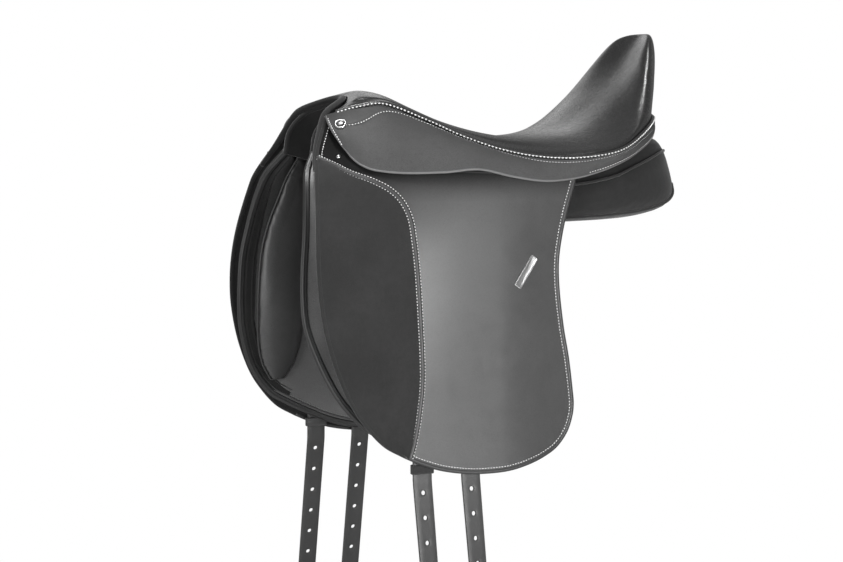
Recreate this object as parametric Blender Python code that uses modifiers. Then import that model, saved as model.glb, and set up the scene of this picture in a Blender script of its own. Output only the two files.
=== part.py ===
"""English dressage saddle, built as separate pieces around one centre plane.

Metres, +X towards the pommel, +Y to the rider's left (near side), +Z up.
The origin lies on the centre plane, between the panels at bearing height.
"""
import bpy, bmesh, math
from mathutils import Vector, Matrix

# ---------------------------------------------------------------- dimensions
FLAP_T = 0.0035          # flap leather
SKIRT_T = 0.0035         # skirt leather
SWEAT_T = 0.0030         # sweat flap
COVER_T = 0.0020         # seat cover with its backing
FOAM_T = 0.0190          # seat foam
TREE_T = 0.0080          # moulded tree wall
FOLD_Z = 0.0330          # height of the flap's fold under the skirt
FOLD_GAP = 0.0006
BILLET_W, BILLET_T = 0.0220, 0.0030
BILLET_X = (0.070, 0.012)
BILLET_IN = 0.0085       # billet's outer face, inside the flap's outer face
KEEPER_Z = -0.2860       # where the billets leave their keepers
TAIL_L = 0.2800
TAIL_LEAN = math.radians(11.0)
HOLE_PITCH, HOLE_R, HOLE_N = 0.0270, 0.0026, 9
WELT_R = 0.0021
BUTTON_R = 0.0065
BAR_X0, BAR_X1, BAR_Z, BAR_H = 0.024, 0.084, 0.0640, 0.0090
BAR_Y0, BAR_Y1, BAR_Y2, BAR_Y3 = 0.0860, 0.0890, 0.0985, 0.1040
CATCH_T, CATCH_HOLE = 0.0024, 0.0019
BADGE_L, BADGE_W, BADGE_T = 0.040, 0.0095, 0.0012
BADGE_X, BADGE_Z, BADGE_TURN = -0.0535, -0.0635, math.radians(-54.0)

# ---------------------------------------------------------------- shape maths
def clamp01(t): return 0.0 if t < 0 else 1.0 if t > 1 else t

def sstep(a, b, x):
    t = clamp01((x - a) / (b - a))
    return t * t * (3 - 2 * t)

def cr(pts, t):
    """Point at t (0..1) of the Catmull-Rom curve through pts."""
    n = len(pts) - 1
    s = clamp01(t) * n
    i = min(int(s), n - 1)
    f = s - i
    p1, p2 = pts[i], pts[i + 1]
    p0 = pts[i - 1] if i > 0 else tuple(2 * a - b for a, b in zip(p1, p2))
    p3 = pts[i + 2] if i + 2 <= n else tuple(2 * b - a for a, b in zip(p1, p2))
    return tuple(0.5 * ((2 * b) + (c - a) * f + (2 * a - 5 * b + 4 * c - d) * f * f
                        + (3 * b - a - 3 * c + d) * f ** 3) for a, b, c, d in zip(p0, p1, p2, p3))

def resample(pts, n, dense=16):
    """n+1 points evenly spaced by length along the curve through pts."""
    m = dense * (len(pts) - 1)
    q = [cr(pts, k / m) for k in range(m + 1)]
    run = [0.0]
    for a, b in zip(q[:-1], q[1:]):
        run.append(run[-1] + math.dist(a, b))
    out, j = [], 0
    for k in range(n + 1):
        s = run[-1] * k / n
        while j < m - 1 and run[j + 1] < s:
            j += 1
        f = clamp01((s - run[j]) / max(1e-12, run[j + 1] - run[j]))
        out.append(tuple(a + (b - a) * f for a, b in zip(q[j], q[j + 1])))
    return out

def table(pts, x):
    """Smooth lookup in a table sorted by rising x."""
    if x <= pts[0][0]: return pts[0][1]
    for i in range(len(pts) - 1):
        if x <= pts[i + 1][0]:
            x0, y0 = pts[i]; x1, y1 = pts[i + 1]
            ym = pts[i - 1] if i > 0 else (2 * x0 - x1, y0)
            yp = pts[i + 2] if i + 2 < len(pts) else (2 * x1 - x0, y1)
            m0 = (y1 - ym[1]) / (x1 - ym[0]); m1 = (yp[1] - y0) / (yp[0] - x0)
            h = x1 - x0; t = (x - x0) / h
            return ((2 * t**3 - 3 * t * t + 1) * y0 + (t**3 - 2 * t * t + t) * h * m0
                    + (-2 * t**3 + 3 * t * t) * y1 + (t**3 - t * t) * h * m1)
    return pts[-1][1]

# Half width of the saddle over the flap's outer face at shoulder height, by x.
SHOULDER = [(-0.20, 0.143), (-0.12, 0.143), (-0.05, 0.142), (0.0, 0.138),
            (0.05, 0.131), (0.10, 0.119), (0.14, 0.102), (0.175, 0.084)]

def barrel(x, z):
    """Outer face of the flap, as a distance from the centre plane."""
    foot = 0.163 - 0.012 * sstep(-0.02, -0.16, x) - 0.006 * sstep(0.12, 0.2, x)
    t = (z - 0.05) / 0.095
    g = math.exp(t) if t < 0 else 1 + t + 0.5 * t * t
    pinch = 0.0130 * sstep(0.030, 0.075, z) * sstep(0.095, 0.150, x)
    return foot - (foot - table(SHOULDER, x)) * g - pinch

# Seat stations from pommel to back of cantle: centre line, crest, welt.
SEAT_C = [(.094,.127),(.080,.132),(.055,.128),(.025,.115),(-.010,.100),(-.050,.088),(-.090,.080),
          (-.130,.078),(-.168,.085),(-.204,.103),(-.236,.130),(-.262,.160),(-.280,.187),
          (-.295,.201),(-.303,.187),(-.301,.150),(-.293,.108)]
SEAT_R = [(.108,.034,.120),(.092,.041,.126),(.064,.045,.1235),(.028,.052,.108),(-.008,.062,.0925),
          (-.048,.074,.081),(-.088,.087,.0765),(-.128,.100,.076),(-.160,.108,.079),(-.192,.107,.088),
          (-.222,.097,.108),(-.242,.084,.133),(-.257,.071,.157),(-.271,.055,.178),(-.281,.045,.170),
          (-.282,.041,.138),(-.283,.027,.106)]
SEAT_W = [(.128,.050,.110),(.106,.058,.116),(.076,.066,.119),(.034,.082,.102),(-.004,.095,.084),
          (-.045,.110,.069),(-.084,.123,.061),(-.122,.133,.059),(-.152,.139,.0615),(-.176,.1395,.066),
          (-.196,.133,.073),(-.214,.124,.082),(-.232,.111,.091),(-.248,.092,.097),(-.262,.070,.101),
          (-.273,.046,.103),(-.281,.027,.104)]

def seat(u, v):
    """Point on the seat's outer face; u 0 pommel to 1 cantle back, v -1 to 1 across."""
    c = cr(SEAT_C, u); r = cr(SEAT_R, u); w = cr(SEAT_W, u)
    a = abs(v)
    pts = [(r[0], -r[1], r[2]), (c[0], 0.0, c[1]), r, w,
           (w[0] - 0.15 * (r[0] - w[0]), w[1] + 0.15 * (w[1] - r[1]) - 0.012,
            w[2] - 0.9 * (r[2] - w[2]) - 0.012)]
    s = a / 0.62 if a < 0.62 else 1 + (a - 0.62) / 0.38
    i = 1 + int(min(s, 1.999999)); f = s - (i - 1)
    p0, p1, p2, p3 = pts[i - 1], pts[i], pts[i + 1], pts[i + 2]
    P = [0.5 * ((2 * b) + (cc - aa) * f + (2 * aa - 5 * b + 4 * cc - d) * f * f
                + (3 * b - aa - 3 * cc + d) * f ** 3) for aa, b, cc, d in zip(p0, p1, p2, p3)]
    if v < 0: P[1] = -P[1]
    return Vector(P)

def seat_in(u, v, depth):
    """Point below the seat's outer face, along its normal."""
    e = 0.004
    du = seat(min(1, u + e), v) - seat(max(0, u - e), v)
    dv = seat(u, min(1, v + e * 4)) - seat(u, max(-1, v - e * 4))
    n = du.cross(dv)
    n.normalize()
    if n.z < 0 and abs(n.z) > 0.2: n = -n
    c = seat(0.5, 0.0); c.z -= 0.1
    if n.dot(seat(u, v) - c) < 0: n = -n
    return seat(u, v) - n * depth

# Skirt: top edge just outside the welt, lower edge on the outside of the flap.
SKIRT_TOP = [(.1375,.0450,.1075),(.126,.0535,.1115),(.108,.0605,.1150),(.077,.0685,.1175),(.035,.0845,.1005),
             (-.004,.0975,.0825),(-.045,.1125,.0675),(-.084,.1255,.0595),(-.122,.1355,.0575),
             (-.152,.1415,.0600),(-.176,.1420,.0645),(-.197,.1360,.0715),(-.215,.1265,.0805),
             (-.234,.1135,.0895),(-.251,.0940,.0955),(-.265,.0715,.0995),(-.276,.0470,.1015),(-.284,.0200,.1025)]
SKIRT_LOW = [(.134,.063),(.1263,.0575),(.1115,.0495),(.080,.0460),(.035,.0465),(-.003,.0490),(-.042,.0405),
             (-.080,.0350),(-.118,.0370)]
SKIRT_TAIL = [(-.150,.1470,.0435),(-.172,.1460,.0505),(-.193,.1400,.0580),(-.213,.1295,.0665),
              (-.232,.1160,.0745),(-.250,.0960,.0815),(-.265,.0730,.0865),(-.277,.0480,.0895),(-.286,.0200,.0910)]
SKIRT_BOT = [(x, barrel(x, z) + 0.0045, z) for x, z in SKIRT_LOW] + SKIRT_TAIL
SKIRT_END = 8.5 / 17.0    # moving skirt runs from the front to this station
SKIRT_FOLD = 0.40

def skirt(s, t, off=0.0):
    """Point on the skirt's outer face; s along it, t 0 welt to 1 lower edge."""
    a = Vector(cr(SKIRT_TOP, s)); b = Vector(cr(SKIRT_BOT, s))
    w = 1 - sstep(0.55, 0.8, s)
    m = (a + b) / 2 + Vector((0.004 * (1 - sstep(0.0, 0.1, s)), 0.008 * w + 0.002, 0.006 * w + 0.001))
    p = a * (1 - t) ** 2 + m * 2 * t * (1 - t) + b * t * t
    q = Vector((p.x, 0, p.z)) - Vector((-0.16, 0, 0.0))
    n = Vector((0, 1, 0)) if s < 0.7 else Vector((-sstep(0.7, 0.98, s), 1 - sstep(0.75, 1.0, s) * 0.85, 0.0)).normalized()
    return p - n * off

# Flap outline in side view (x, z): front, bottom and rear edges.
FLAP_FRONT = [(.1695,.0325),(.1725,.016),(.1790,-.024),(.1820,-.056),(.1820,-.088),(.1785,-.121),
              (.1690,-.160),(.1540,-.197),(.1380,-.2215),(.1180,-.2430),(.0940,-.2570)]
FLAP_BOT = [(.0940,-.2570),(.0750,-.2655),(.0500,-.2740),(.0200,-.2795),(-.0100,-.2810),(-.0350,-.2795),(-.0600,-.2740),(-.0800,-.2665)]
FLAP_REAR = [(-.1190,.0325),(-.1080,.001),(-.1000,-.028),(-.0955,-.055),(-.0960,-.086),(-.1010,-.126),
             (-.1080,-.162),(-.1130,-.198),(-.1145,-.214),(-.1125,-.228),(-.1060,-.244),(-.0940,-.2580),(-.0800,-.2665)]
HEAD_TOP = [(-.118,.0395),(-.040,.0420),(.040,.0450),(.108,.0470),(.124,.0610),(.129,.0850),(.142,.0990)]
SEAM = [(.1700,.0325),(.1400,.0325),(.1040,.0325),(.0860,.0150),(.0790,-.003),(.0770,-.026),(.0755,-.058),(.0745,-.106),
        (.0735,-.172),(.0780,-.213),(.0840,-.243),(.0890,-.2590)]
SWEAT_FRONT = [(.1510,.0660),(.1658,.0430),(.1730,.016),(.1800,-.026),(.1845,-.057),(.1860,-.090),(.1850,-.117),
               (.1800,-.142),(.1690,-.174),(.1550,-.200),(.1340,-.224),(.1130,-.2370)]
SWEAT_BOT = [(.1130,-.2370),(.0870,-.2500),(.0600,-.2620),(.0290,-.2710),(.0000,-.2730),(-.0350,-.2690),(-.0620,-.2590)]
SWEAT_REAR = [(-.0900,.0380),(-.0880,.000),(-.0840,-.050),(-.0870,-.100),(-.0940,-.150),(-.0980,-.200),(-.0900,-.2380),(-.0620,-.2590)]
SWEAT_TOP = [(-.0900,.0380),(-.030,.0370),(.040,.0380),(.100,.0400),(.1275,.0560),(.1510,.0660)]
BLOCK_RISE = [(-.28,.000),(-.224,.001),(-.200,.005),(-.174,.010),(-.139,.019),(-.117,.0245),(-.090,.0245),
              (-.057,.0205),(-.026,.0175),(.016,.0140),(.070,.0150)]

def sweat_in(x, z):
    """How far the sweat flap's outer face lies inside the flap's outer face."""
    return 0.0165 + table(BLOCK_RISE, z) * sstep(0.075, 0.165, x)

def coons(front, bottom, rear, top, n, m):
    """Grid of (x, z) rows filling four edges: n across, m down."""
    F = resample(front, m); R = resample(rear, m); B = resample(bottom, n); T = resample(top, n)
    rows = []
    for j in range(m + 1):
        v = j / m; row = []
        for i in range(n + 1):
            u = i / n
            # u 0 front .. 1 rear, v 0 top .. 1 bottom
            p = []
            for k in (0, 1):
                a = F[j][k] * (1 - u) + R[j][k] * u
                b = T[i][k] * (1 - v) + B[i][k] * v
                c = ((T[0][k] * (1 - u) + T[n][k] * u) * (1 - v) + (B[0][k] * (1 - u) + B[n][k] * u) * v)
                p.append(a + b - c)
            row.append(tuple(p))
        rows.append(row)
    return rows

# ---------------------------------------------------------------- Blender helpers
for ob in list(bpy.data.objects):
    bpy.data.objects.remove(ob, do_unlink=True)

COLL = bpy.data.collections.new("english_saddle")
bpy.context.scene.collection.children.link(COLL)
CUT = bpy.data.collections.new("cutters")
bpy.context.scene.collection.children.link(CUT)

def material(name, rgb, rough, metal=0.0):
    m = bpy.data.materials.new(name)
    m.use_nodes = True
    b = m.node_tree.nodes["Principled BSDF"]
    b.inputs["Base Color"].default_value = (*rgb, 1)
    b.inputs["Roughness"].default_value = rough
    b.inputs["Metallic"].default_value = metal
    m.diffuse_color = (*rgb, 1)
    return m

COLOURS = {"leather": ((0.035, 0.035, 0.037), 0.42, 0.0), "seat": ((0.022, 0.022, 0.024), 0.34, 0.0),
           "suede": ((0.012, 0.012, 0.013), 0.92, 0.0), "strap": ((0.045, 0.045, 0.047), 0.5, 0.0),
           "steel": ((0.62, 0.62, 0.63), 0.28, 1.0), "plastic": ((0.03, 0.03, 0.03), 0.55, 0.0),
           "foam": ((0.30, 0.30, 0.31), 0.95, 0.0), "silver": ((0.75, 0.75, 0.76), 0.22, 1.0)}

def new_object(name, bm, kind, smooth=True):
    me = bpy.data.meshes.new(name)
    bmesh.ops.remove_doubles(bm, verts=bm.verts, dist=1e-6)
    bmesh.ops.recalc_face_normals(bm, faces=bm.faces)
    bm.to_mesh(me); bm.free()
    ob = bpy.data.objects.new(name, me)
    COLL.objects.link(ob)
    rgb, rough, metal = COLOURS[kind]
    me.materials.append(material(name + "_" + kind, rgb, rough, metal))
    for p in me.polygons: p.use_smooth = smooth
    return ob

def grid_surface(n, m, fn):
    """Grid primitive of n by m faces, its vertices moved to fn(u, v)."""
    bm = bmesh.new()
    bmesh.ops.create_grid(bm, x_segments=n, y_segments=m, size=0.5)
    for v in bm.verts:
        v.co = Vector(fn(v.co.x + 0.5, v.co.y + 0.5))
    return bm

def two_faced(name, n, m, outer, inner, kind, smooth=True):
    """Closed sheet between two grids of the same layout."""
    bm = grid_surface(n, m, outer)
    edge = {}
    first = list(bm.verts)
    faces = list(bm.faces)
    twin = {}
    tmp = bmesh.new()
    bmesh.ops.create_grid(tmp, x_segments=n, y_segments=m, size=0.5)
    for a, b in zip(first, tmp.verts):
        twin[a] = bm.verts.new(Vector(inner(b.co.x + 0.5, b.co.y + 0.5)))
    tmp.free()
    rim = [e for e in bm.edges if len(e.link_faces) == 1]
    for f in faces:
        bm.faces.new([twin[v] for v in reversed(f.verts)])
    for e in rim:
        a, b = e.verts
        bm.faces.new([a, b, twin[b], twin[a]])
    return new_object(name, bm, kind, smooth)

def loft(name, rings, kind, smooth=True):
    """Closed solid through rings of equal point counts, flat caps at both ends."""
    bm = bmesh.new()
    vr = [[bm.verts.new(Vector(p)) for p in r] for r in rings]
    k = len(vr[0])
    for a, b in zip(vr[:-1], vr[1:]):
        for i in range(k):
            bm.faces.new([a[i], a[(i + 1) % k], b[(i + 1) % k], b[i]])
    bm.faces.new(list(reversed(vr[0]))); bm.faces.new(vr[-1])
    return new_object(name, bm, kind, smooth)

def side(p, s):
    return Vector((p[0], p[1] * s, p[2]))

def tube(name, pts, r, kind, res=2):
    cu = bpy.data.curves.new(name, "CURVE")
    cu.dimensions = "3D"; cu.bevel_depth = r; cu.bevel_resolution = res - 1; cu.use_fill_caps = True
    sp = cu.splines.new("POLY"); sp.points.add(len(pts) - 1)
    for q, p in zip(sp.points, pts): q.co = (p[0], p[1], p[2], 1)
    ob = bpy.data.objects.new(name, cu)
    COLL.objects.link(ob)
    rgb, rough, metal = COLOURS[kind]
    cu.materials.append(material(name + "_" + kind, rgb, rough, metal))
    return ob

def plate(name, outline, holes, t, kind, bevel=0.0):
    """Flat outline with holes in local XY, thickness t centred on local Z."""
    cu = bpy.data.curves.new(name, "CURVE")
    cu.dimensions = "2D"; cu.fill_mode = "BOTH"; cu.extrude = t / 2
    for loop in [outline] + holes:
        sp = cu.splines.new("POLY"); sp.points.add(len(loop) - 1); sp.use_cyclic_u = True
        for q, p in zip(sp.points, loop): q.co = (p[0], p[1], 0, 1)
    ob = bpy.data.objects.new(name, cu)
    COLL.objects.link(ob)
    rgb, rough, metal = COLOURS[kind]
    cu.materials.append(material(name + "_" + kind, rgb, rough, metal))
    return ob

def cylinder(name, r, h, kind, seg=16, r2=None):
    bm = bmesh.new()
    bmesh.ops.create_cone(bm, cap_ends=True, segments=seg, radius1=r, radius2=r if r2 is None else r2, depth=h)
    return new_object(name, bm, kind)

def box(name, size, kind, bevel=0.0):
    bm = bmesh.new()
    bmesh.ops.create_cube(bm, size=1.0)
    bmesh.ops.scale(bm, vec=size, verts=bm.verts)
    ob = new_object(name, bm, kind, False)
    if bevel:
        md = ob.modifiers.new("bevel", "BEVEL"); md.width = bevel; md.segments = 1
    return ob

def empty(name, loc):
    ob = bpy.data.objects.new(name, None)
    COLL.objects.link(ob)
    ob.location = loc
    return ob

def hang(ob, parent):
    ob.parent = parent
    ob.matrix_parent_inverse = Matrix.Translation(-parent.location)

# ---------------------------------------------------------------- seat, foam, tree
def layer(name, n, m, u0, u1, vmax, d0, d1, kind):
    """Closed layer under the seat's face, from depth d0 to d1."""
    def f(depth):
        return lambda a, b: seat_in(u0 + (u1 - u0) * a, vmax * (2 * b - 1), depth)
    return two_faced(name, n, m, f(d0), f(d1), kind)

layer("seat_cover", 24, 10, 0.0, 1.0, 1.0, 0.0, COVER_T, "seat")

def foam_depth(u, v):
    return FOAM_T * (0.35 + 0.65 * (1 - abs(v) ** 3)) * (1 - 0.72 * sstep(0.50, 0.66, u)) * (0.6 + 0.4 * sstep(0.0, 0.15, u))

FU0, FU1, FV = 2 / 24, 16 / 24, 0.8     # same grid lines as the cover
two_faced("seat_foam", 14, 8,
          lambda a, b: seat_in(FU0 + (FU1 - FU0) * a, FV * (2 * b - 1), COVER_T + 0.0020),
          lambda a, b: seat_in(FU0 + (FU1 - FU0) * a, FV * (2 * b - 1),
                               COVER_T + 0.0020 + foam_depth(FU0 + (FU1 - FU0) * a, FV * (2 * b - 1))), "foam")
TU0, TU1, TV = 3 / 24, 15 / 24, 0.6
two_faced("saddle_tree", 12, 6,
          lambda a, b: seat_in(TU0 + (TU1 - TU0) * a, TV * (2 * b - 1),
                               COVER_T + 0.0034 + foam_depth(TU0 + (TU1 - TU0) * a, TV * (2 * b - 1))),
          lambda a, b: seat_in(TU0 + (TU1 - TU0) * a, TV * (2 * b - 1),
                               COVER_T + 0.0034 + TREE_T + foam_depth(TU0 + (TU1 - TU0) * a, TV * (2 * b - 1))), "plastic")

# Steel arch under the tree's head, its legs spread along the points.
ARCH = [(-.094,.016),(-.086,.042),(-.066,.064),(-.036,.0765),(0.0,.0805),(.036,.0765),(.066,.064),(.086,.042),(.094,.016)]
ARCH_X, ARCH_L, ARCH_T = 0.044, 0.024, 0.004
def arch_pt(a, b, d):
    y, z = cr(ARCH, b)
    e = 0.01
    y1, z1 = cr(ARCH, min(1, b + e)); y0, z0 = cr(ARCH, max(0, b - e))
    t = Vector((y1 - y0, z1 - z0)).normalized()
    return Vector((ARCH_X + ARCH_L * (a - 0.5), y + t.y * d, z - t.x * d))
two_faced("gullet_plate", 1, 12, lambda a, b: arch_pt(a, b, 0.0), lambda a, b: arch_pt(a, b, ARCH_T), "steel", False)

# Suede lining of the arch, from the front edge back under the head.
LINE_F = [(.147,.0370,.064),(.141,.0330,.088),(.123,.0310,.108),(.104,.018,.1175),(.098,.0,.1190)]
LINE_B = [(.105,.052,.050),(.098,.050,.066),(.080,.042,.076),(.064,.022,.0825),(.060,.0,.0840)]
def lining(a, b, d):
    k = abs(2 * b - 1); s = 1 if b >= 0.5 else -1
    p = Vector(cr(LINE_F, 1 - k)); q = Vector(cr(LINE_B, 1 - k))
    r = p.lerp(q, a)
    n = Vector((0, k ** 1.2, 1.02 - k)).normalized()
    r = r - n * d
    return Vector((r.x, r.y * s, r.z))
two_faced("gullet_lining", 3, 12, lambda a, b: lining(a, b, 0.0), lambda a, b: lining(a, b, 0.0035), "suede")

SIDES = (("left", 1), ("right", -1))

# ---------------------------------------------------------------- pieces on each side
def section(cx, y0, y1, z0, z1, k=16, p=2.6, tilt=0.0):
    """Rounded box section at x, k points."""
    out = []
    for i in range(k):
        a = 2 * math.pi * (i + 0.5) / k
        c, s = math.cos(a), math.sin(a)
        u = math.copysign(abs(c) ** (2 / p), c); v = math.copysign(abs(s) ** (2 / p), s)
        y = (y0 + y1) / 2 + u * (y1 - y0) / 2; z = (z0 + z1) / 2 + v * (z1 - z0) / 2
        out.append((cx + tilt * v, y, z))
    return out

PANEL = [(.092,.044,.076,.018,.036,0),(.078,.038,.082,.004,.040,0),(.050,.036,.083,-.008,.040,0),(.025,.035,.086,-.013,.040,0),(-.004,.034,.100,-.016,.042,0),
         (-.050,.033,.112,-.0160,.0400,0),(-.100,.032,.118,-.0150,.0380,0),(-.145,.031,.123,-.0140,.0410,0),
         (-.185,.030,.125,-.0130,.0495,.001),(-.215,.030,.119,-.0110,.0615,.004),(-.242,.030,.109,-.0055,.0715,.007),
         (-.265,.030,.095,.0025,.0785,.010),(-.281,.031,.077,.0130,.0800,.0115),(-.289,.037,.059,.029,.0740,.010)]

for word, s in SIDES:
    # welt: a stitched cord along the seat's edge
    path = []
    for i, p in enumerate(resample(SEAT_W, 26)):
        back = sstep(20, 26, i)
        path.append(side((p[0] - 0.0030 * back, p[1] + 0.0030 * (1 - back), p[2] - 0.0002), s))
    tube("seat_welt_" + word, path, WELT_R, "leather", 1)
    # skirt: the part sewn to the tree with its tail, and the part that lifts
    def head(a, b, d, s=s):
        k = int(round(a * HS))
        if k <= HS // 2:
            q = SKIRT_END * k / (HS // 2); lim = SKIRT_FOLD - 0.020; t0 = 0.10 + 0.12 * sstep(0.2, 0.5, q)
        else:
            q = SKIRT_END + 0.004 + (1 - SKIRT_END - 0.004) * (k - HS // 2 - 1) / (HS - HS // 2 - 1); lim = 1.0; t0 = 0.32
        return side(skirt(q, t0 + (lim - t0) * b, d), s)
    HS = 22
    two_faced("skirt_head_" + word, HS, 2, lambda a, b: head(a, b, 0.0), lambda a, b: head(a, b, SKIRT_T), "leather")
    two_faced("skirt_" + word, 11, 3,
              lambda a, b, s=s: side(skirt(a * (SKIRT_END - 0.004), SKIRT_FOLD + (1 - SKIRT_FOLD) * b, 0.0), s),
              lambda a, b, s=s: side(skirt(a * (SKIRT_END - 0.004), SKIRT_FOLD + (1 - SKIRT_FOLD) * b, SKIRT_T), s), "leather")
    # flap: head sewn under the skirt, and the part that lifts
    def hd(a, b, d, s=s):
        top = cr(HEAD_TOP, a); bot = (-.119 + (.1692 + .119) * a ** 0.8, FOLD_Z + FOLD_GAP / 2)
        x = bot[0] * (1 - b) + top[0] * b; z = bot[1] * (1 - b) + top[1] * b
        return side((x, barrel(x, z) - d, z), s)
    two_faced("flap_head_" + word, 14, 3, lambda a, b: hd(a, b, 0.0), lambda a, b: hd(a, b, FLAP_T), "leather")
    N, M = 8, 11
    rows = coons(FLAP_FRONT, FLAP_BOT, FLAP_REAR, [(.1695,.0325),(.10,.0325),(0.0,.0325),(-.119,.0325)], N, M)
    def fl(a, b, d, s=s, rows=rows, N=N, M=M):
        x, z = rows[int(round(b * M))][int(round(a * N))]
        z = min(z, FOLD_Z - FOLD_GAP / 2)
        return side((x, barrel(x, z) - d, z), s)
    two_faced("flap_" + word, N, M, lambda a, b: fl(a, b, 0.0), lambda a, b: fl(a, b, FLAP_T), "leather")
    # suede knee patch on the flap
    PN, PM = 4, 11
    front_in = [(x - 0.004, z) for x, z in FLAP_FRONT[:-1]] + [(.0950, -.2520)]
    seam = [(x, z) for x, z in SEAM[3:-1]] + [(.0880, -.2520)]
    prow = coons(front_in, [front_in[-1], (.0915, -.2520), seam[-1]], [(.0990, .0290)] + seam, [(.1655,.0290),(.13,.0290),(.0990,.0290)], PN, PM)
    def kp(a, b, d, s=s, prow=prow, PN=PN, PM=PM):
        x, z = prow[int(round(b * PM))][int(round(a * PN))]
        z = min(z, 0.0290)
        return side((x, barrel(x, z) + 0.0030 - d, z), s)
    two_faced("knee_patch_" + word, PN, PM, lambda a, b: kp(a, b, 0.0), lambda a, b: kp(a, b, 0.0012), "suede")
    # sweat flap, between the panel and the billets
    SN, SM = 8, 12
    srow = coons(SWEAT_FRONT, SWEAT_BOT, SWEAT_REAR, list(reversed(SWEAT_TOP)), SN, SM)
    def sw(a, b, d, s=s, srow=srow, SN=SN, SM=SM):
        x, z = srow[int(round(b * SM))][int(round(a * SN))]
        return side((x, barrel(x, z) - sweat_in(x, z) - d, z), s)
    two_faced("sweat_flap_" + word, SN, SM, lambda a, b: sw(a, b, 0.0), lambda a, b: sw(a, b, SWEAT_T), "leather")
    # knee block, between the sweat flap and the flap
    rings = []
    for k in range(9):
        z = 0.012 - 0.182 * k / 8
        x1 = cr(resample(FLAP_FRONT, 20), 0)[0]
        for (xa, za), (xb, zb) in zip(FLAP_FRONT[:-1], FLAP_FRONT[1:]):
            if za >= z >= zb: x1 = xa + (xb - xa) * (za - z) / (za - zb)
        x1 -= 0.016
        fat = math.sin(math.pi * (k * 1.25 + 1.2) / 12.4) ** 0.6
        w = 0.050 * fat
        x0 = x1 - w
        ring = []
        for i in range(10):
            a = 2 * math.pi * i / 10
            cx = (x0 + x1) / 2 + math.cos(a) * w / 2
            out = barrel(cx, z) - FLAP_T - 0.0045
            inn = barrel(cx, z) - sweat_in(cx, z) + 0.0012
            mid = (out + inn) / 2; half = max(0.001, (out - inn) / 2) * fat
            ring.append(side((cx, mid + math.sin(a) * half * 0.94, z), s))
        rings.append(ring)
    loft("knee_block_" + word, rings, "foam")
    # main panel
    stations = resample(PANEL, 15)
    loft("panel_" + word, [[side(p, s) for p in section(q[0], q[1], q[2], q[3], q[4], 12, 2.6, q[5])] for q in stations], "suede")
    # front leaf of the panel, on the horse's side of the sweat flap
    rings = []
    LEAF = [(.090,.125,.060),(.094,.137,.036),(.097,.146,.010),(.099,.157,-.018),(.0995,.165,-.055),(.099,.167,-.110),
            (.099,.161,-.155),(.106,.151,-.186),(.118,.137,-.207)]
    for k in range(10):
        x0, x1, z = cr(LEAF, k / 9)
        w = x1 - x0
        fat = 0.023 * math.sin(math.pi * (0.08 + 0.86 * k / 9)) ** 0.45
        ring = []
        for i in range(10):
            a = 2 * math.pi * i / 10
            cx = (x0 + x1) / 2 + math.cos(a) * w / 2
            base = barrel(cx, z) - sweat_in(cx, z) - SWEAT_T - 0.0024
            ring.append(side((cx, base - fat / 2 + math.sin(a) * fat / 2, z), s))
        rings.append(ring)
    loft("panel_leaf_" + word, rings, "leather")
    # billets: the part inside the keeper, then the hanging tail
    for nm, bx in (("front", BILLET_X[0]), ("rear", BILLET_X[1])):
        rings = []
        for k in range(8):
            z = 0.020 + (KEEPER_Z + 0.0004 - 0.020) * k / 7
            y = barrel(bx, z) - BILLET_IN
            rings.append([side(p, s) for p in ((bx - BILLET_W / 2, y, z), (bx + BILLET_W / 2, y, z),
                                               (bx + BILLET_W / 2, y - BILLET_T, z), (bx - BILLET_W / 2, y - BILLET_T, z))])
        loft("billet_" + nm + "_" + word, rings, "strap", False)
        w = BILLET_W / 2
        top, tip = -0.0020, -TAIL_L
        outline = [(-w, top), (-w, tip + 0.012), (-w * 0.6, tip + 0.003), (0, tip), (w * 0.6, tip + 0.003), (w, tip + 0.012), (w, top)]
        holes = []
        for h in range(HOLE_N):
            zc = -0.009 - HOLE_PITCH * (h + 0.15)
            holes.append([(HOLE_R * math.cos(2 * math.pi * j / 8), zc + HOLE_R * math.sin(2 * math.pi * j / 8)) for j in range(8)])
        ob = plate("billet_tail_" + nm + "_" + word, outline, holes, BILLET_T, "strap")
        ym = barrel(bx, KEEPER_Z) - BILLET_IN - BILLET_T / 2
        # local X runs along the strap's width, local Y up it, local Z through it
        ob.rotation_euler = (math.radians(90) + TAIL_LEAN * s, 0, 0)
        ob.location = (bx, ym * s, KEEPER_Z)
        # keeper: a square loop round the billet, below the sweat flap
        kz = (KEEPER_Z + 0.0015 + (-0.272)) / 2
        kh = 0.0110
        yk = barrel(bx, kz) - BILLET_IN - BILLET_T / 2
        lo = BILLET_W / 2 + 0.0012; hi = lo + 0.0013
        din = BILLET_T / 2 + 0.0012; dout = din + 0.0013
        ring_out = [(bx - hi, yk - dout), (bx + hi, yk - dout), (bx + hi, yk + dout), (bx - hi, yk + dout)]
        ring_in = [(bx - lo, yk - din), (bx + lo, yk - din), (bx + lo, yk + din), (bx - lo, yk + din)]
        bm = bmesh.new()
        loops = [[bm.verts.new(side((p[0], p[1], z), s)) for p in r] for r, z in
                 ((ring_out, kz - kh / 2), (ring_out, kz + kh / 2), (ring_in, kz + kh / 2), (ring_in, kz - kh / 2))]
        for a, b in zip(loops, loops[1:] + loops[:1]):
            for i in range(4):
                bm.faces.new([a[i], a[(i + 1) % 4], b[(i + 1) % 4], b[i]])
        new_object("keeper_" + nm + "_" + word, bm, "plastic", False)
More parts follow.
